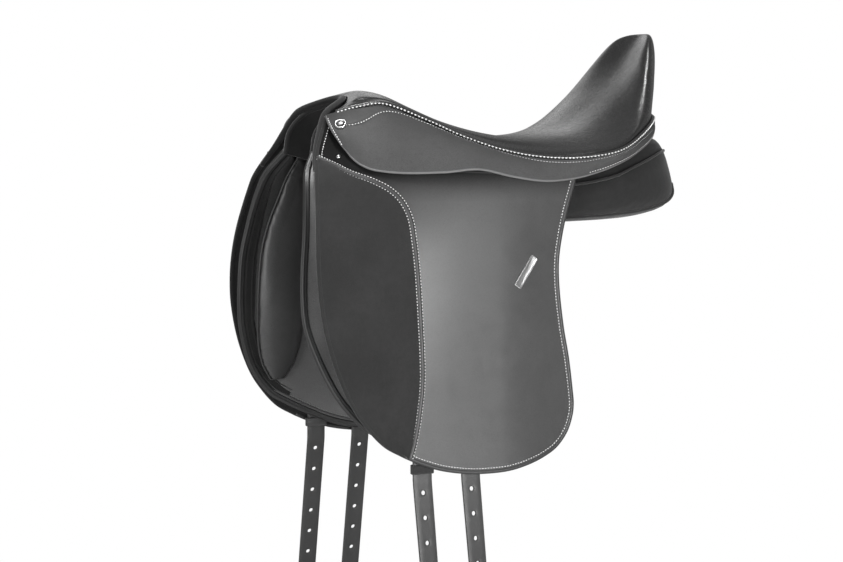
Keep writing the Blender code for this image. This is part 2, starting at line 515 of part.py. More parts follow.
    # stirrup bar: a U in plan, its inner leg riveted to the tree, open at the rear
    outline = [(BAR_X0, BAR_Y0), (BAR_X1, BAR_Y0), (BAR_X1, BAR_Y3), (BAR_X0 - 0.006, BAR_Y3), (BAR_X0 - 0.006, BAR_Y2),
               (BAR_X1 - 0.009, BAR_Y2), (BAR_X1 - 0.009, BAR_Y1), (BAR_X0, BAR_Y1)]
    ob = plate("stirrup_bar_" + word, [(x, y * s) for x, y in outline], [], BAR_H, "steel")
    ob.location = (0, 0, BAR_Z)
    # catch at the bar's open end, turning about its pin in the bar's own plane
    ring = [(CATCH_HOLE * math.cos(2 * math.pi * j / 10), CATCH_HOLE * math.sin(2 * math.pi * j / 10)) for j in range(10)]
    cat = [(-.0036,-.0036), (.0036,-.0036), (.0042,.002), (.0036,.0100), (.0015,.0120), (-.0015,.0120), (-.0036,.0100), (-.0042,.002)]
    piv = empty("pivot_bar_catch_" + word, (BAR_X0 - 0.001, (BAR_Y3 + 0.0004 + CATCH_T / 2) * s, BAR_Z))
    ob = plate("bar_catch_" + word, cat, [ring], CATCH_T, "steel")
    ob.rotation_euler = (math.radians(90), 0, 0)
    ob.parent = piv
    ob = cylinder("catch_pin_" + word, CATCH_HOLE - 0.0004, CATCH_T + 0.0016, "steel", 10)
    ob.rotation_euler = (math.radians(90), 0, 0)
    ob.location = (BAR_X0 - 0.001, (BAR_Y3 + 0.0003 + (CATCH_T + 0.0016) / 2) * s, BAR_Z)
    # two rivets on the bar's inner leg
    for nm, x in (("rear", BAR_X0 + 0.014), ("front", BAR_X1 - 0.024)):
        ob = cylinder("bar_rivet_" + nm + "_" + word, 0.0032, 0.0012, "steel", 10)
        ob.rotation_euler = (math.radians(90), 0, 0)
        ob.location = (x, (BAR_Y1 + 0.0010) * s, BAR_Z)
    # pommel button, on the skirt's front corner
    p = skirt(0.022, 0.33, 0.0)
    q = skirt(0.030, 0.33, 0.0) - skirt(0.014, 0.33, 0.0)
    r = skirt(0.022, 0.38, 0.0) - skirt(0.022, 0.28, 0.0)
    n = q.cross(r); n.normalize()
    if n.y < 0: n = -n
    ob = cylinder("pommel_button_" + word, BUTTON_R, 0.0022, "silver", 16, BUTTON_R * 0.8)
    n = side(n, s)
    ob.rotation_mode = "QUATERNION"
    ob.rotation_quaternion = n.to_track_quat("Z", "Y")
    ob.location = side(p, s) + n * 0.0024
    # small stud under the skirt's front corner
    x, z = 0.1385, 0.0625
    n = Vector((-(barrel(x + 0.002, z) - barrel(x - 0.002, z)) / 0.004, 1.0, -(barrel(x, z + 0.002) - barrel(x, z - 0.002)) / 0.004)).normalized()
    ob = cylinder("flap_stud_" + word, 0.0022, 0.0012, "silver", 12, 0.0014)
    p = Vector((x, barrel(x, z), z)) + n * 0.0012
    n = side(n, s)
    ob.rotation_mode = "QUATERNION"; ob.rotation_quaternion = n.to_track_quat("Z", "Y"); ob.location = side(p, s)
    # plain badge plate on the flap
    x, z = BADGE_X, BADGE_Z
    n = Vector((-(barrel(x + 0.01, z) - barrel(x - 0.01, z)) / 0.02, 1.0, -(barrel(x, z + 0.01) - barrel(x, z - 0.01)) / 0.02)).normalized()
    p = side(Vector((x, barrel(x, z), z)) + n * (BADGE_T / 2 + 0.0007), s)
    n = side(n, s)
    d = Vector((math.cos(BADGE_TURN), 0, math.sin(BADGE_TURN))); d = (d - n * d.dot(n)).normalized()
    w = n.cross(d)
    c = 0.0010; hl, hw = BADGE_L / 2, BADGE_W / 2
    ob = plate("flap_badge_" + word, [(-hl + c, -hw), (hl - c, -hw), (hl, -hw + c), (hl, hw - c), (hl - c, hw), (-hl + c, hw), (-hl, hw - c), (-hl, -hw + c)], [], BADGE_T, "silver")
    ob.rotation_mode = "QUATERNION"
    ob.rotation_quaternion = Matrix((d, w, n)).transposed().to_quaternion()
    ob.location = p
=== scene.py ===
import bpy
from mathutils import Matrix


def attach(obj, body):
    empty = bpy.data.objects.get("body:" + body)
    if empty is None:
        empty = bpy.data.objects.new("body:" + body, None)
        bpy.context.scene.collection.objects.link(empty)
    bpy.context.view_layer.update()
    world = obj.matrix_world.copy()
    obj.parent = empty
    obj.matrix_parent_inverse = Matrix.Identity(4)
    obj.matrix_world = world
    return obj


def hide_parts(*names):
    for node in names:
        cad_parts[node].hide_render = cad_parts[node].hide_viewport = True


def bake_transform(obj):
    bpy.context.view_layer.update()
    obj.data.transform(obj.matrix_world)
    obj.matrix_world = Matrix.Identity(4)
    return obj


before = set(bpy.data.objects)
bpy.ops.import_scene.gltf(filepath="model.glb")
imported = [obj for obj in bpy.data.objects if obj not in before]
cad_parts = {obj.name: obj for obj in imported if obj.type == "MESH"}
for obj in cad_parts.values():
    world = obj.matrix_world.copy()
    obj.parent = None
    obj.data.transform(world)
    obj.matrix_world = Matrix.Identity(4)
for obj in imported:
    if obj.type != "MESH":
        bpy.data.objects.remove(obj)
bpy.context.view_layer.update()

import bpy, bmesh, math, random
import numpy as np
from mathutils import Vector, Matrix, noise

# ---------------------------------------------------------------- sizes shared with the CAD
FLAP_T, SKIRT_T, SWEAT_T, COVER_T, FOAM_T = 0.0035, 0.0035, 0.0030, 0.0020, 0.0190
FOLD_Z = 0.0330
BILLET_W, BILLET_T, BILLET_X, BILLET_IN = 0.0220, 0.0030, (0.070, 0.012), 0.0085
KEEPER_Z, TAIL_L, TAIL_LEAN = -0.2860, 0.2800, math.radians(11.0)
HOLE_PITCH, HOLE_R, HOLE_N = 0.0270, 0.0026, 9
BUTTON_R = 0.0065
BADGE_L, BADGE_W, BADGE_T = 0.040, 0.0095, 0.0012
BADGE_X, BADGE_Z, BADGE_TURN = -0.0535, -0.0635, math.radians(-54.0)
SIDES = (("left", 1), ("right", -1))

# ---------------------------------------------------------------- shape maths, the same as the CAD's
def clamp01(t): return 0.0 if t < 0 else 1.0 if t > 1 else t

def sstep(a, b, x):
    t = clamp01((x - a) / (b - a))
    return t * t * (3 - 2 * t)

def cr(pts, t):
    """Point at t (0..1) of the Catmull-Rom curve through pts."""
    n = len(pts) - 1
    s = clamp01(t) * n
    i = min(int(s), n - 1)
    f = s - i
    p1, p2 = pts[i], pts[i + 1]
    p0 = pts[i - 1] if i > 0 else tuple(2 * a - b for a, b in zip(p1, p2))
    p3 = pts[i + 2] if i + 2 <= n else tuple(2 * b - a for a, b in zip(p1, p2))
    return tuple(0.5 * ((2 * b) + (c - a) * f + (2 * a - 5 * b + 4 * c - d) * f * f
                        + (3 * b - a - 3 * c + d) * f ** 3) for a, b, c, d in zip(p0, p1, p2, p3))

def resample(pts, n, dense=16):
    """n+1 points evenly spaced by length along the curve through pts."""
    m = dense * (len(pts) - 1)
    q = [cr(pts, k / m) for k in range(m + 1)]
    run = [0.0]
    for a, b in zip(q[:-1], q[1:]):
        run.append(run[-1] + math.dist(a, b))
    out, j = [], 0
    for k in range(n + 1):
        s = run[-1] * k / n
        while j < m - 1 and run[j + 1] < s:
            j += 1
        f = clamp01((s - run[j]) / max(1e-12, run[j + 1] - run[j]))
        out.append(tuple(a + (b - a) * f for a, b in zip(q[j], q[j + 1])))
    return out

def table(pts, x):
    """Smooth lookup in a table sorted by rising x."""
    if x <= pts[0][0]: return pts[0][1]
    for i in range(len(pts) - 1):
        if x <= pts[i + 1][0]:
            x0, y0 = pts[i]; x1, y1 = pts[i + 1]
            ym = pts[i - 1] if i > 0 else (2 * x0 - x1, y0)
            yp = pts[i + 2] if i + 2 < len(pts) else (2 * x1 - x0, y1)
            m0 = (y1 - ym[1]) / (x1 - ym[0]); m1 = (yp[1] - y0) / (yp[0] - x0)
            h = x1 - x0; t = (x - x0) / h
            return ((2 * t**3 - 3 * t * t + 1) * y0 + (t**3 - 2 * t * t + t) * h * m0
                    + (-2 * t**3 + 3 * t * t) * y1 + (t**3 - t * t) * h * m1)
    return pts[-1][1]

# Half width of the saddle over the flap's outer face at shoulder height, by x.
SHOULDER = [(-0.20, 0.143), (-0.12, 0.143), (-0.05, 0.142), (0.0, 0.138),
            (0.05, 0.131), (0.10, 0.119), (0.14, 0.102), (0.175, 0.084)]

def barrel(x, z):
    """Outer face of the flap, as a distance from the centre plane."""
    foot = 0.163 - 0.012 * sstep(-0.02, -0.16, x) - 0.006 * sstep(0.12, 0.2, x)
    t = (z - 0.05) / 0.095
    g = math.exp(t) if t < 0 else 1 + t + 0.5 * t * t
    pinch = 0.0130 * sstep(0.030, 0.075, z) * sstep(0.095, 0.150, x)
    return foot - (foot - table(SHOULDER, x)) * g - pinch

# Seat stations from pommel to back of cantle: centre line, crest, welt.
SEAT_C = [(.094,.127),(.080,.132),(.055,.128),(.025,.115),(-.010,.100),(-.050,.088),(-.090,.080),
          (-.130,.078),(-.168,.085),(-.204,.103),(-.236,.130),(-.262,.160),(-.280,.187),
          (-.295,.201),(-.303,.187),(-.301,.150),(-.293,.108)]
SEAT_R = [(.108,.034,.120),(.092,.041,.126),(.064,.045,.1235),(.028,.052,.108),(-.008,.062,.0925),
          (-.048,.074,.081),(-.088,.087,.0765),(-.128,.100,.076),(-.160,.108,.079),(-.192,.107,.088),
          (-.222,.097,.108),(-.242,.084,.133),(-.257,.071,.157),(-.271,.055,.178),(-.281,.045,.170),
          (-.282,.041,.138),(-.283,.027,.106)]
SEAT_W = [(.128,.050,.110),(.106,.058,.116),(.076,.066,.119),(.034,.082,.102),(-.004,.095,.084),
          (-.045,.110,.069),(-.084,.123,.061),(-.122,.133,.059),(-.152,.139,.0615),(-.176,.1395,.066),
          (-.196,.133,.073),(-.214,.124,.082),(-.232,.111,.091),(-.248,.092,.097),(-.262,.070,.101),
          (-.273,.046,.103),(-.281,.027,.104)]

def seat(u, v):
    """Point on the seat's outer face; u 0 pommel to 1 cantle back, v -1 to 1 across."""
    c = cr(SEAT_C, u); r = cr(SEAT_R, u); w = cr(SEAT_W, u)
    a = abs(v)
    pts = [(r[0], -r[1], r[2]), (c[0], 0.0, c[1]), r, w,
           (w[0] - 0.15 * (r[0] - w[0]), w[1] + 0.15 * (w[1] - r[1]) - 0.012,
            w[2] - 0.9 * (r[2] - w[2]) - 0.012)]
    s = a / 0.62 if a < 0.62 else 1 + (a - 0.62) / 0.38
    i = 1 + int(min(s, 1.999999)); f = s - (i - 1)
    p0, p1, p2, p3 = pts[i - 1], pts[i], pts[i + 1], pts[i + 2]
    P = [0.5 * ((2 * b) + (cc - aa) * f + (2 * aa - 5 * b + 4 * cc - d) * f * f
                + (3 * b - aa - 3 * cc + d) * f ** 3) for aa, b, cc, d in zip(p0, p1, p2, p3)]
    if v < 0: P[1] = -P[1]
    return Vector(P)

def seat_in(u, v, depth):
    """Point below the seat's outer face, along its normal."""
    e = 0.004
    du = seat(min(1, u + e), v) - seat(max(0, u - e), v)
    dv = seat(u, min(1, v + e * 4)) - seat(u, max(-1, v - e * 4))
    n = du.cross(dv)
    n.normalize()
    if n.z < 0 and abs(n.z) > 0.2: n = -n
    c = seat(0.5, 0.0); c.z -= 0.1
    if n.dot(seat(u, v) - c) < 0: n = -n
    return seat(u, v) - n * depth

# Skirt: top edge just outside the welt, lower edge on the outside of the flap.
SKIRT_TOP = [(.1375,.0450,.1075),(.126,.0535,.1115),(.108,.0605,.1150),(.077,.0685,.1175),(.035,.0845,.1005),
             (-.004,.0975,.0825),(-.045,.1125,.0675),(-.084,.1255,.0595),(-.122,.1355,.0575),
             (-.152,.1415,.0600),(-.176,.1420,.0645),(-.197,.1360,.0715),(-.215,.1265,.0805),
             (-.234,.1135,.0895),(-.251,.0940,.0955),(-.265,.0715,.0995),(-.276,.0470,.1015),(-.284,.0200,.1025)]
SKIRT_LOW = [(.134,.063),(.1263,.0575),(.1115,.0495),(.080,.0460),(.035,.0465),(-.003,.0490),(-.042,.0405),
             (-.080,.0350),(-.118,.0370)]
SKIRT_TAIL = [(-.150,.1470,.0435),(-.172,.1460,.0505),(-.193,.1400,.0580),(-.213,.1295,.0665),
              (-.232,.1160,.0745),(-.250,.0960,.0815),(-.265,.0730,.0865),(-.277,.0480,.0895),(-.286,.0200,.0910)]
SKIRT_BOT = [(x, barrel(x, z) + 0.0045, z) for x, z in SKIRT_LOW] + SKIRT_TAIL
SKIRT_END = 8.5 / 17.0    # moving skirt runs from the front to this station
SKIRT_FOLD = 0.40

def skirt(s, t, off=0.0):
    """Point on the skirt's outer face; s along it, t 0 welt to 1 lower edge."""
    a = Vector(cr(SKIRT_TOP, s)); b = Vector(cr(SKIRT_BOT, s))
    w = 1 - sstep(0.55, 0.8, s)
    m = (a + b) / 2 + Vector((0.004 * (1 - sstep(0.0, 0.1, s)), 0.008 * w + 0.002, 0.006 * w + 0.001))
    p = a * (1 - t) ** 2 + m * 2 * t * (1 - t) + b * t * t
    q = Vector((p.x, 0, p.z)) - Vector((-0.16, 0, 0.0))
    n = Vector((0, 1, 0)) if s < 0.7 else Vector((-sstep(0.7, 0.98, s), 1 - sstep(0.75, 1.0, s) * 0.85, 0.0)).normalized()
    return p - n * off

# Flap outline in side view (x, z): front, bottom and rear edges.
FLAP_FRONT = [(.1695,.0325),(.1725,.016),(.1790,-.024),(.1820,-.056),(.1820,-.088),(.1785,-.121),
              (.1690,-.160),(.1540,-.197),(.1380,-.2215),(.1180,-.2430),(.0940,-.2570)]
FLAP_BOT = [(.0940,-.2570),(.0750,-.2655),(.0500,-.2740),(.0200,-.2795),(-.0100,-.2810),(-.0350,-.2795),(-.0600,-.2740),(-.0800,-.2665)]
FLAP_REAR = [(-.1190,.0325),(-.1080,.001),(-.1000,-.028),(-.0955,-.055),(-.0960,-.086),(-.1010,-.126),
             (-.1080,-.162),(-.1130,-.198),(-.1145,-.214),(-.1125,-.228),(-.1060,-.244),(-.0940,-.2580),(-.0800,-.2665)]
HEAD_TOP = [(-.118,.0395),(-.040,.0420),(.040,.0450),(.108,.0470),(.124,.0610),(.129,.0850),(.142,.0990)]
SEAM = [(.1700,.0325),(.1400,.0325),(.1040,.0325),(.0860,.0150),(.0790,-.003),(.0770,-.026),(.0755,-.058),(.0745,-.106),
        (.0735,-.172),(.0780,-.213),(.0840,-.243),(.0890,-.2590)]
SWEAT_FRONT = [(.1510,.0660),(.1658,.0430),(.1730,.016),(.1800,-.026),(.1845,-.057),(.1860,-.090),(.1850,-.117),
               (.1800,-.142),(.1690,-.174),(.1550,-.200),(.1340,-.224),(.1130,-.2370)]
SWEAT_BOT = [(.1130,-.2370),(.0870,-.2500),(.0600,-.2620),(.0290,-.2710),(.0000,-.2730),(-.0350,-.2690),(-.0620,-.2590)]
SWEAT_REAR = [(-.0900,.0380),(-.0880,.000),(-.0840,-.050),(-.0870,-.100),(-.0940,-.150),(-.0980,-.200),(-.0900,-.2380),(-.0620,-.2590)]
SWEAT_TOP = [(-.0900,.0380),(-.030,.0370),(.040,.0380),(.100,.0400),(.1275,.0560),(.1510,.0660)]
BLOCK_RISE = [(-.28,.000),(-.224,.001),(-.200,.005),(-.174,.010),(-.139,.019),(-.117,.0245),(-.090,.0245),
              (-.057,.0205),(-.026,.0175),(.016,.0140),(.070,.0150)]

def sweat_in(x, z):
    """How far the sweat flap's outer face lies inside the flap's outer face."""
    return 0.0165 + table(BLOCK_RISE, z) * sstep(0.075, 0.165, x)

def coons(front, bottom, rear, top, n, m):
    """Grid of (x, z) rows filling four edges: n across, m down."""
    F = resample(front, m); R = resample(rear, m); B = resample(bottom, n); T = resample(top, n)
    rows = []
    for j in range(m + 1):
        v = j / m; row = []
        for i in range(n + 1):
            u = i / n
            # u 0 front .. 1 rear, v 0 top .. 1 bottom
            p = []
            for k in (0, 1):
                a = F[j][k] * (1 - u) + R[j][k] * u
                b = T[i][k] * (1 - v) + B[i][k] * v
                c = ((T[0][k] * (1 - u) + T[n][k] * u) * (1 - v) + (B[0][k] * (1 - u) + B[n][k] * u) * v)
                p.append(a + b - c)
            row.append(tuple(p))
        rows.append(row)
    return rows

def foam_depth(u, v):
    return FOAM_T * (0.35 + 0.65 * (1 - abs(v) ** 3)) * (1 - 0.72 * sstep(0.50, 0.66, u)) * (0.6 + 0.4 * sstep(0.0, 0.15, u))

LINE_F = [(.147,.0370,.064),(.141,.0330,.088),(.123,.0310,.108),(.104,.018,.1175),(.098,.0,.1190)]
LINE_B = [(.105,.052,.050),(.098,.050,.066),(.080,.042,.076),(.064,.022,.0825),(.060,.0,.0840)]
def lining(a, b, d):
    k = abs(2 * b - 1); s = 1 if b >= 0.5 else -1
    p = Vector(cr(LINE_F, 1 - k)); q = Vector(cr(LINE_B, 1 - k))
    r = p.lerp(q, a)
    n = Vector((0, k ** 1.2, 1.02 - k)).normalized()
    r = r - n * d
    return Vector((r.x, r.y * s, r.z))
def section(cx, y0, y1, z0, z1, k=16, p=2.6, tilt=0.0):
    """Rounded box section at x, k points."""
    out = []
    for i in range(k):
        a = 2 * math.pi * (i + 0.5) / k
        c, s = math.cos(a), math.sin(a)
        u = math.copysign(abs(c) ** (2 / p), c); v = math.copysign(abs(s) ** (2 / p), s)
        y = (y0 + y1) / 2 + u * (y1 - y0) / 2; z = (z0 + z1) / 2 + v * (z1 - z0) / 2
        out.append((cx + tilt * v, y, z))
    return out

PANEL = [(.092,.044,.076,.018,.036,0),(.078,.038,.082,.004,.040,0),(.050,.036,.083,-.008,.040,0),(.025,.035,.086,-.013,.040,0),(-.004,.034,.100,-.016,.042,0),
         (-.050,.033,.112,-.0160,.0400,0),(-.100,.032,.118,-.0150,.0380,0),(-.145,.031,.123,-.0140,.0410,0),
         (-.185,.030,.125,-.0130,.0495,.001),(-.215,.030,.119,-.0110,.0615,.004),(-.242,.030,.109,-.0055,.0715,.007),
         (-.265,.030,.095,.0025,.0785,.010),(-.281,.031,.077,.0130,.0800,.0115),(-.289,.037,.059,.029,.0740,.010)]

LEAF = [(.090,.125,.060),(.094,.137,.036),(.097,.146,.010),(.099,.157,-.018),(.0995,.165,-.055),(.099,.167,-.110),
        (.099,.161,-.155),(.106,.151,-.186),(.118,.137,-.207)]

# ---------------------------------------------------------------- mesh helpers
def side(p, s):
    return Vector((p[0], p[1] * s, p[2]))

def add_object(name, verts, faces, mat, smooth=True):
    me = bpy.data.meshes.new(name)
    me.from_pydata([tuple(v) for v in verts], [], faces)
    me.update()
    ob = bpy.data.objects.new(name, me)
    bpy.context.scene.collection.objects.link(ob)
    if mat: me.materials.append(mat)
    me.shade_smooth() if smooth else me.shade_flat()
    return ob

def fix_normals(ob):
    bm = bmesh.new(); bm.from_mesh(ob.data)
    bmesh.ops.recalc_face_normals(bm, faces=bm.faces)
    bm.to_mesh(ob.data); bm.free()
    return ob

def bake(ob):
    """Applies the object's modifiers, so that its mesh is final."""
    dg = bpy.context.evaluated_depsgraph_get()
    me = bpy.data.meshes.new_from_object(ob.evaluated_get(dg))
    old = ob.data
    ob.modifiers.clear()
    ob.data = me
    if old.users == 0:
        bpy.data.meshes.remove(old) if isinstance(old, bpy.types.Mesh) else bpy.data.curves.remove(old)
    me.shade_smooth()
    return ob

def sheet_between(name, n, m, outer, inner, mat, round_r=0.0, seg=3, back=None):
    """Closed sheet with n by m cells between two functions of (u, v), rounded at its rim."""
    V, F = [], []
    for fn in (outer, inner):
        for j in range(m + 1):
            for i in range(n + 1):
                V.append(fn(i / n, j / m))
    o = (n + 1) * (m + 1)
    at = lambda i, j: j * (n + 1) + i
    for j in range(m):
        for i in range(n):
            q = [at(i, j), at(i + 1, j), at(i + 1, j + 1), at(i, j + 1)]
            F.append(q); F.append([o + k for k in reversed(q)])
    rim = [at(i, 0) for i in range(n)] + [at(n, j) for j in range(m)] + [at(i, m) for i in range(n, 0, -1)] + [at(0, j) for j in range(m, 0, -1)]
    for a, b in zip(rim, rim[1:] + rim[:1]):
        F.append([b, a, o + a, o + b])
    ob = add_object(name, V, F, mat)
    if back:
        ob.data.materials.append(back)
        for k, p in enumerate(ob.data.polygons):
            if k < 2 * n * m and k % 2: p.material_index = 1
    fix_normals(ob)
    if round_r:
        md = ob.modifiers.new("round", "BEVEL")
        md.width = round_r; md.segments = seg; md.limit_method = "ANGLE"; md.angle_limit = math.radians(50)
        bake(ob)
    return ob

def sweep(name, path, up, section, mat, closed=False, cap=True):
    """Solid swept along path. up: outward direction at each point. section: (across, out) pairs."""
    V, F = [], []
    n = len(path); k = len(section(0)) if callable(section) else len(section)
    for i, p in enumerate(path):
        a = path[(i - 1) % n] if (i > 0 or closed) else path[i]
        b = path[(i + 1) % n] if (i < n - 1 or closed) else path[i]
        t = (Vector(b) - Vector(a)).normalized()
        u = Vector(up[i]); u = (u - t * u.dot(t)).normalized()
        w = t.cross(u)
        for c, h in section(i / max(1, n - 1)) if callable(section) else section:
            V.append(Vector(p) + w * c + u * h)
    for i in range(n if closed else n - 1):
        for j in range(k):
            q = (i + 1) % n
            F.append([i * k + j, i * k + (j + 1) % k, q * k + (j + 1) % k, q * k + j])
    if not closed and cap:
        F.append([j for j in range(k)][::-1]); F.append([(n - 1) * k + j for j in range(k)])
    return fix_normals(add_object(name, V, F, mat))

def ring(r, k=10, flat=1.0, lift=0.0):
    return [(r * math.cos(2 * math.pi * j / k), lift + r * flat * math.sin(2 * math.pi * j / k)) for j in range(k)]

def stitches(name, path, up, pitch, mat, length=0.72, r=0.00042, rise=0.0004, jitter=0.06, seed=1):
    """A row of thread stitches lying on a surface along path."""
    rnd = random.Random(seed)
    L = [0.0]
    for a, b in zip(path[:-1], path[1:]): L.append(L[-1] + (Vector(b) - Vector(a)).length)
    count = max(1, int(L[-1] / pitch)); pitch = L[-1] / count
    V, F = [], []
    def get(s):
        s = min(max(s, 0.0), L[-1]); j = 0
        lo, hi = 0, len(L) - 1
        while hi - lo > 1:
            m = (lo + hi) // 2
            if L[m] <= s: lo = m
            else: hi = m
        f = (s - L[lo]) / max(1e-9, L[hi] - L[lo])
        return Vector(path[lo]).lerp(Vector(path[hi]), f), Vector(up[lo]).lerp(Vector(up[hi]), f).normalized()
    for c in range(count):
        mid = (c + 0.5 + rnd.uniform(-jitter, jitter) * 0.4) * pitch
        half = pitch * length / 2
        rings = []
        for q, (h, sc) in zip((-1, -0.72, 0.0, 0.72, 1), ((-0.9, 0.45), (0.25, 0.95), (0.75, 1.05), (0.25, 0.95), (-0.9, 0.45))):
            p, u = get(mid + q * half)
            a, _ = get(mid + q * half - 0.0004); b, _ = get(mid + q * half + 0.0004)
            t = (b - a).normalized(); u = (u - t * u.dot(t)).normalized(); w = t.cross(u)
            rings.append([p + w * (math.cos(k * math.pi / 3) * r * sc) + u * (math.sin(k * math.pi / 3) * r * sc + rise * h) for k in range(6)])
        o = len(V)
        for rg in rings: V.extend(rg)
        for i in range(4):
            for k in range(6):
                F.append([o + i * 6 + k, o + i * 6 + (k + 1) % 6, o + (i + 1) * 6 + (k + 1) % 6, o + (i + 1) * 6 + k])
        F.append([o + k for k in range(6)][::-1]); F.append([o + 24 + k for k in range(6)])
    return add_object(name, V, F, mat)

def lofted(name, rings, mat, caps=True):
    V, F = [], []
    k = len(rings[0])
    for r in rings: V.extend(r)
    for i in range(len(rings) - 1):
        for j in range(k):
            F.append([i * k + j, i * k + (j + 1) % k, (i + 1) * k + (j + 1) % k, (i + 1) * k + j])
    if caps:
        for i, rg in ((0, rings[0]), (len(rings) - 1, rings[-1])):
            c = sum((Vector(p) for p in rg), Vector()) / k
            V.append(c); o = len(V) - 1
            for j in range(k):
                F.append([i * k + j, i * k + (j + 1) % k, o])
    return fix_normals(add_object(name, V, F, mat))

def join(name, obs):
    """Joins objects into the first one and names it."""
    ctx = bpy.context
    for o in ctx.selected_objects: o.select_set(False)
    for o in obs: o.select_set(True)
    ctx.view_layer.objects.active = obs[0]
    bpy.ops.object.join()
    obs[0].name = name; obs[0].data.name = name
    obs[0].select_set(False)
    return obs[0]

# points and outward normals on the flap's face
def bn(x, z, s=1):
    e = 0.002
    n = Vector((-(barrel(x + e, z) - barrel(x - e, z)) / (2 * e), 1.0, -(barrel(x, z + e) - barrel(x, z - e)) / (2 * e))).normalized()
    return side(n, s)

def bpt(x, z, s=1, h=0.0):
    return side((x, barrel(x, z), z), s) + bn(x, z, s) * h

def edge_path(pts, n):
    """Evenly spaced (x, z) points."""
    return resample(pts, n)

def inset(pts, d, centre=(0.03, -0.12)):
    """Polyline moved by d to its inner side (towards centre)."""
    out = []
    n = len(pts)
    for i, p in enumerate(pts):
        a = pts[max(0, i - 1)]; b = pts[min(n - 1, i + 1)]
        tx, tz = b[0] - a[0], b[1] - a[1]
        l = math.hypot(tx, tz) or 1.0
        nx, nz = -tz / l, tx / l
        if nx * (centre[0] - p[0]) + nz * (centre[1] - p[1]) < 0: nx, nz = -nx, -nz
        out.append((p[0] + nx * d, p[1] + nz * d))
    return out

# ---------------------------------------------------------------- materials
class Mat:
    """Small builder for a node material."""
    def __init__(self, name):
        self.m = bpy.data.materials.new(name)
        self.m.use_nodes = True
        self.t = self.m.node_tree
        self.b = self.t.nodes["Principled BSDF"]
        self.co = self.t.nodes.new("ShaderNodeTexCoord").outputs["Object"]
    def node(self, kind, **kw):
        n = self.t.nodes.new(kind)
        for k, v in kw.items():
            if k in n.inputs: n.inputs[k].default_value = v
            else: setattr(n, k, v)
        return n
    def link(self, a, b): self.t.links.new(a, b)
    def noise(self, scale, detail=4.0, rough=0.6, stretch=None):
        n = self.node("ShaderNodeTexNoise", Scale=scale, Detail=detail, Roughness=rough)
        if stretch:
            mp = self.node("ShaderNodeMapping"); mp.inputs["Scale"].default_value = stretch
            self.link(self.co, mp.inputs["Vector"]); self.link(mp.outputs[0], n.inputs["Vector"])
        else: self.link(self.co, n.inputs["Vector"])
        return n.outputs["Fac"]
    def voronoi(self, scale, feature="DISTANCE_TO_EDGE", rand=1.0):
        n = self.node("ShaderNodeTexVoronoi", feature=feature, Scale=scale, Randomness=rand)
        self.link(self.co, n.inputs["Vector"])
        return n.outputs["Distance"]
    def wave(self, scale, axis="X", distort=0.0, profile="SIN"):
        n = self.node("ShaderNodeTexWave", bands_direction=axis, wave_profile=profile, Scale=scale, Distortion=distort)
        self.link(self.co, n.inputs["Vector"])
        return n.outputs["Fac"]
    def ramp(self, fac, stops):
        r = self.node("ShaderNodeValToRGB")
        e = r.color_ramp.elements
        while len(e) < len(stops): e.new(0.5)
        for el, (p, c) in zip(e, stops):
            el.position = p; el.color = (c[0], c[1], c[2], 1) if hasattr(c, "__len__") else (c, c, c, 1)
        self.link(fac, r.inputs["Fac"])
        return r.outputs["Color"]
    def mix(self, fac, a, b, mode="MIX"):
        n = self.node("ShaderNodeMix", data_type="RGBA", blend_type=mode)
        for sock, v in ((n.inputs[0], fac), (n.inputs[6], a), (n.inputs[7], b)):
            if isinstance(v, bpy.types.NodeSocket): self.link(v, sock)
            else: sock.default_value = v if not hasattr(v, "__len__") else (v[0], v[1], v[2], 1)
        return n.outputs[2]
    def math(self, op, a, b=0.0, clamp=False):
        n = self.node("ShaderNodeMath", operation=op, use_clamp=clamp)
        for sock, v in ((n.inputs[0], a), (n.inputs[1], b)):
            if isinstance(v, bpy.types.NodeSocket): self.link(v, sock)
            else: sock.default_value = v
        return n.outputs[0]
    def span(self, fac, lo, hi, a=0.0, b=1.0):
        n = self.node("ShaderNodeMapRange", clamp=True)
        n.inputs["From Min"].default_value = lo; n.inputs["From Max"].default_value = hi
        n.inputs["To Min"].default_value = a; n.inputs["To Max"].default_value = b
        self.link(fac, n.inputs["Value"])
        return n.outputs["Result"]
    def attr(self, name):
        return self.node("ShaderNodeAttribute", attribute_name=name).outputs["Fac"]
    def wear(self):
        """Raised edges, 0 to 1."""
        g = self.node("ShaderNodeNewGeometry")
        return self.span(g.outputs["Pointiness"], 0.52, 0.60)
    def bump(self, layers):
        """layers: (height, strength, distance)."""
        last = None
        for h, s, d in layers:
            n = self.node("ShaderNodeBump", Strength=s, Distance=d)
            self.link(h, n.inputs["Height"])
            if last: self.link(last, n.inputs["Normal"])
            last = n.outputs["Normal"]
        self.link(last, self.b.inputs["Normal"])
    def put(self, **kw):
        for k, v in kw.items():
            s = self.b.inputs[k.replace("_", " ")]
            if isinstance(v, bpy.types.NodeSocket): self.link(v, s)
            else: s.default_value = v if not hasattr(v, "__len__") else (v[0], v[1], v[2], 1)
        return self

def g3(v, tint=1.0): return (v * tint, v, v * (2 - tint) if tint != 1 else v)

